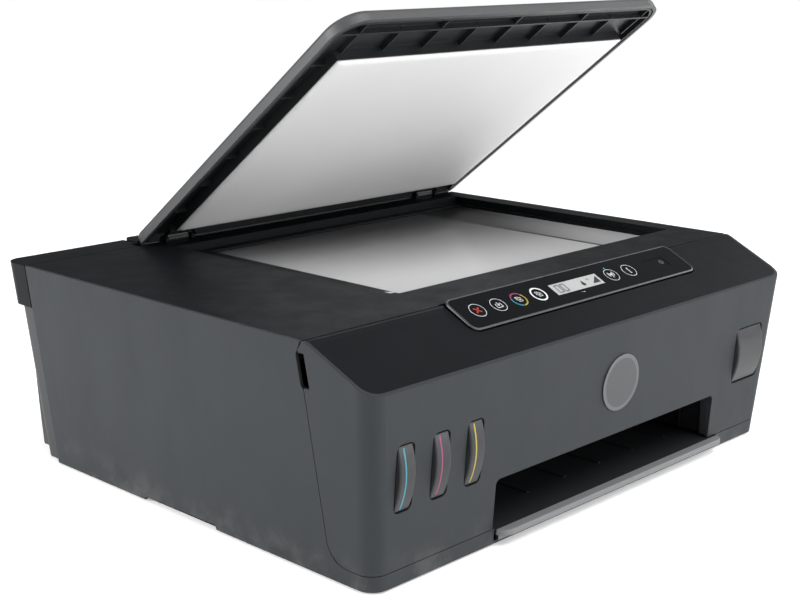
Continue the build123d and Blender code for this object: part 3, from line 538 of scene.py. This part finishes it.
class PrinterColours(bpy.types.PropertyGroup):
    """Colours of the mouldings, the mat and the inks."""

    case: colour_property("Casing", "Grey of the casing and the door", (0.0275, 0.031, 0.0335))
    dark: colour_property("Dark top", "Near-black of the top plate and fascia", (0.0055, 0.0068, 0.0080))
    lid: colour_property("Lid", "Grey of the lid's outside", (0.060, 0.062, 0.064))
    liner: colour_property("Lid liner", "Near-black of the liner", (0.012, 0.0135, 0.015))
    mat: colour_property("Lid mat", "White of the mat under the lid", (0.84, 0.84, 0.84))
    # The pane's grey is a painted reflection of the lid mat, which fades to painted shade towards the
    # back.
    pane: colour_property("Pane", "Grey seen through the scanner pane", (0.45, 0.45, 0.45))
    gloss: colour_property("Panel", "Black of the glossy control panel", (0.003, 0.0036, 0.0042))
    smoke: colour_property("Tank smoke", "Grey of the smoked tank windows", (0.036, 0.037, 0.039))
    cyan: colour_property("Cyan", "Level line of the cyan tank", (0.018, 0.20, 0.27))
    magenta: colour_property("Magenta", "Level line of the magenta tank", (0.25, 0.028, 0.11))
    yellow: colour_property("Yellow", "Level line of the yellow tank", (0.36, 0.27, 0.02))


class PrinterMarks(bpy.types.PropertyGroup):
    """Sizes of the printed and moulded marks."""

    ring: FloatProperty(name="Ring width", description="Width of the line round each key",
                        default=0.00042, unit="LENGTH")
    lift: FloatProperty(name="Print lift", description="How far print stands off its surface",
                        default=0.00003, unit="LENGTH")
    thick: FloatProperty(name="Print thickness", description="Thickness of printed marks",
                         default=0.00004, unit="LENGTH")
    line: FloatProperty(name="Level line", description="Width of the line down each tank window",
                        default=0.0013, unit="LENGTH")
    crown: FloatProperty(name="Mat crown", description="How far the mat's faces swell in the middle",
                         default=0.0004, unit="LENGTH")
    mat_rows: IntProperty(name="Mat rows", description="Rows of the mat's mesh each way", default=36)


class PrinterStudio(bpy.types.PropertyGroup):
    """Camera and light."""

    azimuth: FloatProperty(name="Azimuth", description="Camera's turn round the printer",
                           default=math.radians(-45.87), subtype="ANGLE")
    elevation: FloatProperty(name="Elevation", description="Camera's height as an angle",
                             default=math.radians(13.66), subtype="ANGLE")
    distance: FloatProperty(name="Distance", description="From the target to the camera",
                            default=1.2604, unit="LENGTH")
    target: FloatVectorProperty(name="Target", description="What the camera looks at",
                                default=(0.1202, 0.1241, 0.07), subtype="XYZ", size=3)
    lens: FloatProperty(name="Lens", description="Focal length in millimetres", default=65.53)
    ambient: FloatProperty(name="Ambient", description="Strength of the even light", default=0.50)
    power: FloatProperty(name="Light", description="Strength of the soft boxes", default=1.0)


# ---- operators --------------------------------------------------------------------------


class PRINTER_OT_casing(bpy.types.Operator):
    """Finish the casing, the door, the top and the lid"""

    bl_idname = "printer.casing"
    bl_label = "Casing"

    def execute(self, context):
        colours = context.scene.printer_colours
        dress(case_finish(colours), "outer_casing", "front_door")
        dark = moulded_plastic("top_dark_texture", tuple(colours.dark), 0.42, 2600.0, 0.00003, 0.0006,
                               specular=0.07)
        dress(dark, "fascia", "scanner_top_frame", "rear_top_cover", "paper_support")
        rear = moulded_plastic("rear_dark_texture", (0.027, 0.029, 0.031), 0.5)
        dress(rear, "rear_cover")
        lid = moulded_plastic("lid_grey_texture", tuple(colours.lid), 0.42, 2600.0, 0.00003, 0.0008)
        dress(lid, "lid_shell")
        liner = moulded_plastic("liner_dark_satin", tuple(colours.liner), 0.42, 1800.0, 0.00002, 0.0004)
        dress(liner, "lid_inner_frame", "hinge_arms")
        dress(tray_finish(), "output_tray")
        slider = moulded_plastic("slider_dark_satin", (0.012, 0.0125, 0.013), 0.5, specular=0.15)
        dress(slider, "tray_extender")
        guide = moulded_plastic("guide_grey_satin", (0.16, 0.165, 0.17), 0.45)
        dress(guide, "paper_guide_left", "paper_guide_right")
        return {"FINISHED"}


class PRINTER_OT_works(bpy.types.Operator):
    """Finish the works inside: pan, rollers, carriage, belt, motors and boards"""

    bl_idname = "printer.works"
    bl_label = "Works"

    def execute(self, context):
        black = moulded_plastic("works_black", (0.009, 0.009, 0.010), 0.55, 1600.0, 0.00003, 0.0004,
                                specular=0.15)
        dress(black, "base_chassis", "scanner_tray", "platen", "service_station", "power_module",
              "power_inlet", "print_carriage", "scan_bar")
        dress(moulded_plastic("head_grey", (0.2, 0.2, 0.21), 0.4), "print_heads")
        dress(moulded_plastic("latch_blue", (0.02, 0.14, 0.38), 0.3), "carriage_latch")
        dress(moulded_plastic("gear_acetal", (0.62, 0.62, 0.59), 0.35), "motor_pulley", "idler_pulley",
              "feed_pinion")
        dress(metal("rod_ground_steel", (0.62, 0.62, 0.64), 0.16), "guide_rods", "hinge_pins")
        dress(metal("beam_zinc_plate", (0.5, 0.51, 0.53), 0.32), "rail_frame")
        dress(metal("motor_can_plate", (0.45, 0.45, 0.47), 0.3), "carriage_motor", "feed_motor")
        dress(metal("screw_zinc", (0.55, 0.55, 0.57), 0.3), "screws")
        dress(moulded_plastic("belt_black_rubber", (0.015, 0.015, 0.015), 0.6, 900.0), "carriage_belt")
        dress(moulded_plastic("foot_soft_rubber", (0.02, 0.02, 0.021), 0.75, 700.0), "feet")
        dress(board_finish(), "main_board", "control_board")
        for node, limit in (("feed_roller", 0.0034), ("output_roller", 0.003)):
            place = joint_named(node + "_spin")["pos_m"]
            dress(shaft_and_tyre(node + "_rubber_and_steel", (0.035, 0.035, 0.038), (0.6, 0.6, 0.62),
                                 place[1:], limit), node)
        tube = Finish("tube_milky", Roughness=0.3, Specular=0.5)
        tube.set(Base_Color=tube.mix(tube.noise(80.0), (0.2, 0.2, 0.21), (0.34, 0.34, 0.36)))
        dress(tube.material, "ink_tubes")
        return {"FINISHED"}


class PRINTER_OT_pane(bpy.types.Operator):
    """Finish the scanner pane and lay its corner mark beside it"""

    bl_idname = "printer.pane"
    bl_label = "Scanner pane"

    def execute(self, context):
        scene = context.scene
        dress(pane_finish(scene.printer_colours), "scanner_glass")
        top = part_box("scanner_top_frame")[1].z
        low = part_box("scanner_glass")[0]
        seat = Seat(Vector((low.x - 0.0085, low.y + 0.012, top - 0.006)), Vector((1, 0, 0)),
                    Vector((0, 1, 0)), Vector((0, 0, 1)))
        arrow = [[(0.0, 0.0), (0.006, 0.0), (0.0, 0.006)]]
        print_on("corner_mark", seat, arrow, "root", ink_print("mark_pale_print", (0.5, 0.51, 0.52)))
        return {"FINISHED"}


class PRINTER_OT_lid_mat(bpy.types.Operator):
    """Build the foam mat under the lid, with a soft edge and a slight crown"""

    bl_idname = "printer.lid_mat"
    bl_label = "Lid mat"

    def execute(self, context):
        scene = context.scene
        marks = scene.printer_marks
        hinge = joint_named("lid_hinge")
        place = Vector(hinge["pos_m"])
        turn = Matrix.Rotation(math.radians(-hinge["range_deg"][0]), 4, Vector(hinge["axis"]))
        opened = Matrix.Translation(place) @ turn @ Matrix.Translation(-place)
        shut = opened.inverted()
        points = [shut @ p for p in node_corners("lid_pad")]
        low = Vector([min(p[i] for p in points) for i in range(3)])
        high = Vector([max(p[i] for p in points) for i in range(3)])
        rows = marks.mat_rows
        margin = 0.0012

        def spread(low_end, high_end, step):
            """Rows that crowd towards both ends, for a rounded edge."""
            share = step / rows
            eased = 0.5 - 0.5 * math.cos(math.pi * share)
            return low_end + (high_end - low_end) * (0.35 * share + 0.65 * eased)

        def make(shape):
            sides = []
            for face in (0, 1):
                grid = []
                for i in range(rows + 1):
                    line = []
                    for j in range(rows + 1):
                        x = spread(low.x, high.x, i)
                        y = spread(low.y, high.y, j)
                        rim = min(x - low.x, high.x - x, y - low.y, high.y - y)
                        fall = max(0.0, 1 - rim / margin) ** 2 * margin
                        swell = math.sin(math.pi * i / rows) * math.sin(math.pi * j / rows)
                        ripple = math.sin(x * 71.0) * math.sin(y * 57.0 + 1.0)
                        depth = fall - marks.crown * 0.5 * (swell - 1) + 0.00006 * (1 + ripple)
                        z = high.z - depth * 0.25 if face else low.z + depth
                        line.append(shape.verts.new(opened @ Vector((x, y, z))))
                    grid.append(line)
                sides.append(grid)
            for grid in sides:
                for i in range(rows):
                    for j in range(rows):
                        shape.faces.new((grid[i][j], grid[i + 1][j], grid[i + 1][j + 1], grid[i][j + 1]))
            bottom, top = sides
            ring = [(i, 0) for i in range(rows)] + [(rows, j) for j in range(rows)]
            ring += [(i, rows) for i in range(rows, 0, -1)] + [(0, j) for j in range(rows, 0, -1)]
            for here, there in zip(ring, ring[1:] + ring[:1]):
                shape.faces.new((bottom[here[0]][here[1]], bottom[there[0]][there[1]],
                                 top[there[0]][there[1]], top[here[0]][here[1]]))

        mat = new_piece("lid_mat", make, "lid", mat_finish(scene.printer_colours), True)
        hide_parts("lid_pad")
        return {"FINISHED"}


def page_icon(size, width):
    """Two pages, one in front of the other, with a star on the near one."""
    back = path_strokes([(-0.9, -0.2), (-0.9, 1.0), (0.3, 1.0)], width)
    front = path_strokes([(-0.45, 0.6), (0.95, 0.6), (0.95, -0.9), (-0.45, -0.9)], width, True)
    star = []
    for turn in range(3):
        angle = math.radians(60 * turn + 90)
        arm = (0.36 * math.cos(angle), 0.36 * math.sin(angle))
        star.append(stroke((0.25 - arm[0], -0.15 - arm[1]), (0.25 + arm[0], -0.15 + arm[1]), width))
    return scaled(back + front + star, size)


def resume_icon(size, width):
    """A page with an arrow down onto it."""
    edges = [(-0.4, 0.35), (-0.8, 0.35), (-0.8, -0.85), (0.8, -0.85), (0.8, 0.35), (0.4, 0.35)]
    page = path_strokes(edges, width)
    arrow = [stroke((0.0, 0.9), (0.0, 0.0), width), [(-0.4, 0.1), (0.4, 0.1), (0.0, -0.45)]]
    return scaled(page + arrow, size)


def wireless_icon(size, width):
    """A mast with waves on both sides."""
    shapes = [stroke((0.0, -1.0), (0.0, 0.2), width)]
    shapes += band(0.16, 0.3, steps=16, middle=(0.0, 0.25))
    for reach in (0.55, 0.95):
        shapes += band(reach, width, -48, 48, 48, (0.0, 0.25))
        shapes += band(reach, width, 132, 228, 48, (0.0, 0.25))
    return scaled(shapes, size)


def information_icon(size, width):
    """A dot over a stem."""
    shapes = band(0.12, 0.24, steps=16, middle=(0.0, 0.75))
    shapes += [stroke((0.0, -0.9), (0.0, 0.35), width), stroke((-0.28, 0.3), (0.08, 0.3), width * 0.7),
               stroke((-0.3, -0.9), (0.3, -0.9), width * 0.7)]
    return scaled(shapes, size)


def cross_icon(size, width):
    """Two crossed bars."""
    bars = [stroke((-0.8, -0.8), (0.8, 0.8), width), stroke((-0.8, 0.8), (0.8, -0.8), width)]
    return scaled(bars, size)


def power_icon(size, width):
    """An open ring with a bar through its gap."""
    return scaled(band(0.8, width, 125, 415, 40) + [stroke((0.0, 0.25), (0.0, 1.05), width)], size)


class PRINTER_OT_keys(bpy.types.Operator):
    """Finish the control panel and print a ring and a sign on each key"""

    bl_idname = "printer.keys"
    bl_label = "Keys"

    def execute(self, context):
        colours, marks = context.scene.printer_colours, context.scene.printer_marks
        dress(self.panel_gloss(tuple(colours.gloss)), "control_panel",
              *(key for key in NODES if key.endswith("_button")))
        white = ink_print("key_white_print", (0.62, 0.64, 0.65))
        bright = ink_print("key_bright_print", (0.78, 0.79, 0.79))
        red = ink_print("key_red_print", (0.42, 0.02, 0.015))
        normal = -Vector(joint_named("cancel_button_press")["axis"])
        size, width = 3.0 * MM, 0.17
        signs = {
            "cancel_button": (cross_icon(size * 0.95, 0.42), red),
            "resume_button": (resume_icon(size, width), white),
            "colour_copy_button": (page_icon(size * 0.8, width), white),
            "black_copy_button": (page_icon(size * 0.8, width), white),
            "wireless_button": (wireless_icon(size, 0.2), white),
            "information_button": (information_icon(size, 0.26), white),
        }
        rings = {"black_copy_button": (0.0012, bright)}
        for key, (sign, ink) in signs.items():
            seat, half = facing_patch(key, normal)
            print_on(key + "_sign", seat, sign, key, ink)
            reach = half[0] - 0.0008
            if key == "colour_copy_button":
                self.copy_ring(seat, reach, colours)
            else:
                broad, ink = rings.get(key, (marks.ring, white))
                print_on(key + "_ring", seat, band(reach, broad), key, ink)
        seat, half = facing_patch("power_button", normal)
        print_on("power_button_sign", seat.moved(half[0] * 0.55, 0.0), power_icon(0.0021, 0.2),
                 "power_button", ink_print("key_dim_print", (0.2, 0.21, 0.22)))
        panel_seat, half = facing_patch("control_panel", normal)
        rim = Finish("panel_rim_satin", Specular=0.6)
        rim.set(Base_Color=rim.mix(rim.noise(300.0), (0.030, 0.033, 0.036), (0.05, 0.053, 0.056)))
        rim.set(Roughness=0.3)
        new_piece("panel_rim", self.rim(panel_seat, half), "door", rim.material, True)
        offset = facing_patch("wireless_button", normal)[0].middle - panel_seat.middle
        lamp = panel_seat.moved(offset.dot(panel_seat.across), offset.dot(panel_seat.up) + 0.0078)
        print_on("wireless_lamp", lamp, dot_shape(LAMP_RADIUS), "door",
                 ink_print("lamp_cyan_glow", (0.02, 0.45, 0.6), 0.3, 0.8))
        return {"FINISHED"}

    @staticmethod
    def panel_gloss(colour):
        """The panel's black gloss."""
        panel = Finish("panel_black_gloss", Specular=0.05, Coat_Roughness=0.02)
        panel.set(Base_Color=panel.mix(panel.noise(500.0, 2.0), colour, shade(colour, 1.5)))
        panel.set(Roughness=panel.noise(45.0, 4.0).eased(0.3, 0.8, 0.08, 0.13))
        panel.set(Normal=panel.rounded_edges(0.0006))
        return panel.material

    @staticmethod
    def copy_ring(seat, reach, colours):
        """The ring round the colour key, in three inks."""
        for hue, start, stop in (("magenta", 45, 155), ("cyan", 160, 262), ("yellow", 267, 400)):
            print_on("copy_ring_" + hue, seat, band(reach, 0.0011, start, stop), "colour_copy_button",
                     ink_print("key_%s_print" % hue, tuple(getattr(colours, hue))))

    @staticmethod
    def rim(seat, half):
        """A mesh maker for the bevelled rim that runs round the slab's top edge."""
        profile = ((-0.00062, -0.00072), (-0.00050, -0.00030), (-0.00015, 0.00006), (0.00035, 0.00012),
                   (0.00070, 0.00002), (0.00070, -0.0002))  # how far in from the edge, and how far up

        def make(shape):
            loops = []
            for inset, lift in profile:
                points = rounded_outline(half, 0.0053, inset)
                loops.append([shape.verts.new(seat.at(x, y, lift)) for x, y in points])
            for here, there in zip(loops, loops[1:]):
                count = len(here)
                for a in range(count):
                    b = (a + 1) % count
                    shape.faces.new((here[a], here[b], there[b], there[a]))

        return make


def rounded_outline(half, radius, inset, steps=10):
    """Points round a rectangle with rounded corners, moved inwards by an inset."""
    wide, tall = half[0] - inset, half[1] - inset
    bend = max(radius - inset, 0.0001)
    points = []
    corners = ((1, 1, 0), (-1, 1, 90), (-1, -1, 180), (1, -1, 270))
    for side_x, side_y, start in corners:
        for step in range(steps + 1):
            angle = math.radians(start + 90 * step / steps)
            points.append((side_x * (wide - bend) + bend * math.cos(angle),
                           side_y * (tall - bend) + bend * math.sin(angle)))
    return points


# The bars of a digit nought, each from one end to the other.
SEGMENTS = {
    "top": ((-1, 2), (1, 2)), "bottom": ((-1, -2), (1, -2)),
    "high_left": ((-1, 0), (-1, 2)), "high_right": ((1, 0), (1, 2)),
    "low_left": ((-1, -2), (-1, 0)), "low_right": ((1, -2), (1, 0)),
}


class PRINTER_OT_display(bpy.types.Operator):
    """Finish the pale display and draw its digits and signs"""

    bl_idname = "printer.display"
    bl_label = "Display"

    def execute(self, context):
        glass = Finish("display_pale_film", Coat_Roughness=0.03)
        glass.set(Base_Color=glass.mix(glass.noise(700.0), (0.38, 0.39, 0.385), (0.42, 0.43, 0.425)))
        glass.set(Roughness=0.22, Coat_Weight=0.5)
        dress(glass.material, "display_window")
        normal = -Vector(joint_named("cancel_button_press")["axis"])
        seat = facing_patch("display_window", normal)[0]
        shapes = self.digits() + scaled([self.drop()], 1.5 * MM, (0.0062, -0.0004))
        shapes += scaled([[(-4.2, -3.2), (4.0, -3.2), (4.0, 3.4)]], MM, (0.0195, 0.0))
        for reach in (1.0, 2.0):
            shapes += scaled(band(reach, 0.42, 40, 140, 40, (0.0, -0.6)), MM, (0.0135, 0.0012))
        print_on("display_segments", seat, shapes, "door",
                 ink_print("display_dark_segments", (0.02, 0.021, 0.022)))
        panel_seat = facing_patch("control_panel", normal)[0]
        offset = seat.middle + seat.up * -0.0079 - panel_seat.middle
        spot = panel_seat.moved(offset.dot(panel_seat.across) - 0.0035, offset.dot(panel_seat.up))
        print_on("alert_lamp", spot, dot_shape(ALERT_RADIUS), "door",
                 ink_print("lamp_pink", (0.55, 0.1, 0.3), 0.3, 0.5))
        bars = [stroke((0.0012, -0.0004), (0.0032, -0.0004), 0.0005)]
        print_on("alert_sign", spot, bars, "door", ink_print("lamp_white", (0.5, 0.5, 0.5)))
        return {"FINISHED"}

    @staticmethod
    def digits():
        """Two noughts, each of six segments."""
        shapes = []
        for middle in (-0.0195, -0.0137):
            for start, stop in SEGMENTS.values():
                bar = stroke((start[0] * 2.0, start[1] * 1.8), (stop[0] * 2.0, stop[1] * 1.8), 0.8)
                shapes += scaled([bar], MM, (middle, 0.0))
        return shapes

    @staticmethod
    def drop():
        """The outline of a drop with its tip up."""
        points = []
        for step in range(24):
            angle = 2 * math.pi * step / 24
            rise = max(0.0, math.sin(angle))
            points.append((1.25 * math.cos(angle) * (1 - 0.35 * rise),
                           1.25 * math.sin(angle) + rise ** 3 * 1.1 - 0.6))
        return points


class PRINTER_OT_tanks(bpy.types.Operator):
    """Finish the tanks and their stoppers, and draw the level line down each window"""

    bl_idname = "printer.tanks"
    bl_label = "Ink tanks"

    def execute(self, context):
        colours, marks = context.scene.printer_colours, context.scene.printer_marks
        smoke = window_finish("tank_smoked_window", tuple(colours.smoke))
        dress(smoke, *("ink_tank_" + name for name in TANKS))
        inks = {name: tuple(getattr(colours, name)) for name in COLOURS}
        inks["black"] = (0.02, 0.02, 0.022)
        for name in TANKS:
            stopper = moulded_plastic("stopper_" + name, shade(inks[name], 0.9), 0.55, 900.0)
            dress(stopper, "tank_cap_" + name)
            tank = "ink_tank_" + name
            surface = surface_of(tank)
            low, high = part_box(tank)
            front = low.y
            middle = self.window_middle(tank, front)
            half = self.window_half(surface, middle, front, (low.z + high.z) / 2)
            x = middle - half + 0.0042
            bottom, top = low.z + 0.0065, high.z - 0.0060
            if name == "black":
                bottom = top - 0.0105
            points = []
            for step in range(29):
                z = bottom + (top - bottom) * step / 28
                hit = surface.ray_cast(Vector((x, front - 0.02, z)), Vector((0, 1, 0)))
                if hit[0] is not None and hit[0].y < front + 0.006:
                    points.append((hit[0], hit[1]))
            width = marks.line if name != "black" else 0.0009
            tint = ink_print("line_%s" % name, inks[name], 0.3)
            new_piece("level_line_" + name, self.ribbon(points, width, marks.lift), "root", tint,
                      True)
        return {"FINISHED"}

    @staticmethod
    def window_middle(tank, front):
        """The middle of the bulging window along X."""
        near = [p.x for p in node_corners(tank) if p.y < front + 0.003]
        return (min(near) + max(near)) / 2

    @staticmethod
    def window_half(surface, middle, front, z):
        """Half the width of the bulging window."""
        reach = 0.0
        for step in range(1, 120):
            offset = step * 0.00025
            hit = surface.ray_cast(Vector((middle + offset, front - 0.02, z)), Vector((0, 1, 0)))
            if hit[0] is None or hit[0].y > front + 0.004:
                break
            reach = offset
        return reach

    @staticmethod
    def ribbon(points, width, lift):
        """A mesh maker for a thin strip laid along a curved surface."""

        def make(shape):
            lines = []
            for point, normal in points:
                side = Vector((width / 2, 0, 0))
                skin = point + normal * lift
                proud = point + normal * (lift + 0.00006)
                lines.append([shape.verts.new(p) for p in (skin - side, skin + side, proud + side * 0.8,
                                                           proud - side * 0.8)])
            for here, there in zip(lines, lines[1:]):
                for a in range(4):
                    b = (a + 1) % 4
                    shape.faces.new((here[a], here[b], there[b], there[a]))
            shape.faces.new(lines[0])
            shape.faces.new(list(reversed(lines[-1])))

        return make


class PRINTER_OT_badge(bpy.types.Operator):
    """Finish the plain round badge"""

    bl_idname = "printer.badge"
    bl_label = "Badge"

    def execute(self, context):
        dress(badge_finish(), "front_badge")
        return {"FINISHED"}


class PRINTER_OT_back(bpy.types.Operator):
    """Add the contacts inside the data socket"""

    bl_idname = "printer.back"
    bl_label = "Back"

    def execute(self, context):
        brass = metal("contact_plate", (0.72, 0.6, 0.32), 0.22)
        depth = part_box("main_board")[1].y - 0.006
        socket = next(m for m in RECORD["mounts"] if m["name"] == "data_socket")["pos_m"]
        base = Vector((socket[0], depth, socket[2]))
        seat = Seat(base, Vector((1, 0, 0)), Vector((0, 0, 1)), Vector((0, 1, 0)))
        blades = []
        for x in (-0.0013, 0.0013):
            for y in (-0.0009, 0.0009):
                blades.append(stroke((x - 0.0005, y), (x + 0.0005, y), 0.0004))
        new_piece("data_contacts", printed(seat, blades, 0.0, 0.004), "root", brass)
        return {"FINISHED"}


class PRINTER_OT_stage(bpy.types.Operator):
    """Lay the floor, hang the backdrop and place the lights and the camera"""

    bl_idname = "printer.stage"
    bl_label = "Studio"

    def execute(self, context):
        scene, studio = context.scene, context.scene.printer_studio
        self.floor()
        self.backdrop()
        self.world(scene, studio)
        middle = (CAD_BOX[0] + CAD_BOX[1]) / 2
        boxes = (
            ("soft_box_left_back", (-1.9, 1.1, 0.8), 1.4, 1.2, 58.0),
            ("soft_box_right", (2.0, -0.6, 0.7), 1.4, 1.0, 16.0),
            ("soft_box_low_front", (0.5, -2.0, 0.4), 2.4, 0.7, 23.0),
            ("soft_box_above", (0.2, -1.1, 2.0), 2.2, 1.4, 38.0),
        )
        for name, place, wide, tall, power in boxes:
            self.soft_box(name, Vector(place), middle, wide, tall, power * studio.power)
        lens = bpy.data.cameras.new("camera")
        camera = bpy.data.objects.new("camera", lens)
        scene.collection.objects.link(camera)
        lens.lens, lens.sensor_width = studio.lens, 36.0
        lens.clip_start, lens.clip_end = 0.01, 60.0
        around, above = studio.azimuth, studio.elevation
        level = math.cos(above)
        back = Vector((math.sin(around) * level, -math.cos(around) * level, math.sin(above)))
        camera.location = Vector(studio.target) + back * studio.distance
        camera.rotation_mode = "QUATERNION"
        camera.rotation_quaternion = (-back).to_track_quat("-Z", "Y")
        scene.camera = camera
        scene.view_settings.view_transform = "Standard"
        return {"FINISHED"}

    @staticmethod
    def stand(name, shape, finish):
        """Link a floor or a backdrop made with bmesh, with its finish."""
        mesh = bpy.data.meshes.new(name)
        shape.to_mesh(mesh)
        shape.free()
        piece = bpy.data.objects.new(name, mesh)
        bpy.context.scene.collection.objects.link(piece)
        mesh.materials.append(finish.material)
        return piece

    def floor(self):
        """A pale floor that fades out into the backdrop, away from the printer."""
        shape = bmesh.new()
        bmesh.ops.create_grid(shape, x_segments=2, y_segments=2, size=12.0)
        finish = Finish("floor_pale", Roughness=0.9, Specular=0.1, Emission_Strength=0.34)
        finish.set(Base_Color=finish.mix(finish.noise(3.0), (0.86, 0.86, 0.86), (0.89, 0.89, 0.89)))
        finish.set(Emission_Color=(1.0, 1.0, 1.0))
        x, y = finish.axes()[:2]
        finish.set(Alpha=((x * x + y * y) ** 0.5).eased(0.8, 2.0, 1.0, 0.0))
        self.stand("floor", shape, finish)

    def backdrop(self):
        """A white dome that only the camera sees, so it adds no glare to the dark plastic."""
        shape = bmesh.new()
        bmesh.ops.create_icosphere(shape, subdivisions=4, radius=11.5)
        finish = Finish("backdrop_white", Roughness=1.0, Emission_Strength=1.0)
        finish.set(Emission_Color=(1.0, 1.0, 1.0), Base_Color=(0.0, 0.0, 0.0))
        dome = self.stand("backdrop", shape, finish)
        dome.visible_diffuse = dome.visible_glossy = False
        dome.visible_transmission = dome.visible_shadow = False

    @staticmethod
    def world(scene, studio):
        """Even light that is strong from above, the front and the right, and weak elsewhere."""
        air = Board(bpy.data.worlds.new("studio_air"))
        way = air.add("ShaderNodeTexCoord", {}, {}).out("Generated")
        parts = air.add("ShaderNodeSeparateXYZ", {}, {"Vector": way})
        front = (0.0 - parts.out("Y")).eased(-0.1, 0.7)
        height = parts.out("Z").eased(0.25, 0.85)
        right = parts.out("X").eased(0.2, 1.0) * 0.5
        glow = (front * 0.8 + height + right).capped() * 0.9 + 0.1
        sockets = {"Strength": glow * studio.ambient, "Color": (1.0, 1.0, 1.0)}
        sky = air.add("ShaderNodeBackground", {}, sockets)
        air.add("ShaderNodeOutputWorld", {}, {"Surface": sky.out()})
        scene.world = air.material

    @staticmethod
    def soft_box(name, place, target, wide, tall, power):
        """A rectangular light that points at a target."""
        light = bpy.data.lights.new(name, "AREA")
        light.shape, light.size, light.size_y, light.energy = "RECTANGLE", wide, tall, power
        lamp = bpy.data.objects.new(name, light)
        bpy.context.scene.collection.objects.link(lamp)
        lamp.location = place
        lamp.rotation_mode = "QUATERNION"
        lamp.rotation_quaternion = (target - place).to_track_quat("-Z", "Y")


class PRINTER_PT_panel(bpy.types.Panel):
    """Lists the printer's properties and operators"""

    bl_idname = "PRINTER_PT_panel"
    bl_label = "Tank printer"
    bl_space_type = "VIEW_3D"
    bl_region_type = "UI"
    bl_category = "Printer"

    def draw(self, context):
        scene, layout = context.scene, self.layout
        for group in (scene.printer_colours, scene.printer_marks, scene.printer_studio):
            box = layout.box()
            for name in group.__annotations__:
                box.prop(group, name)
        for operator in OPERATORS:
            layout.operator(operator.bl_idname)


GROUPS = {
    "printer_colours": PrinterColours,
    "printer_marks": PrinterMarks,
    "printer_studio": PrinterStudio,
}
OPERATORS = (
    PRINTER_OT_casing, PRINTER_OT_works, PRINTER_OT_pane, PRINTER_OT_lid_mat, PRINTER_OT_keys,
    PRINTER_OT_display, PRINTER_OT_tanks, PRINTER_OT_badge, PRINTER_OT_back, PRINTER_OT_stage,
)


def register():
    for name, group in GROUPS.items():
        bpy.utils.register_class(group)
        setattr(bpy.types.Scene, name, PointerProperty(type=group))
    for operator in OPERATORS:
        bpy.utils.register_class(operator)
    bpy.utils.register_class(PRINTER_PT_panel)


def unregister():
    bpy.utils.unregister_class(PRINTER_PT_panel)
    for operator in reversed(OPERATORS):
        bpy.utils.unregister_class(operator)
    for name, group in reversed(GROUPS.items()):
        delattr(bpy.types.Scene, name)
        bpy.utils.unregister_class(group)


def main():
    """Build every piece in order."""
    register()
    for operator in OPERATORS:
        family, name = operator.bl_idname.split(".")
        getattr(getattr(bpy.ops, family), name)()


if __name__ == "__main__":
    main()
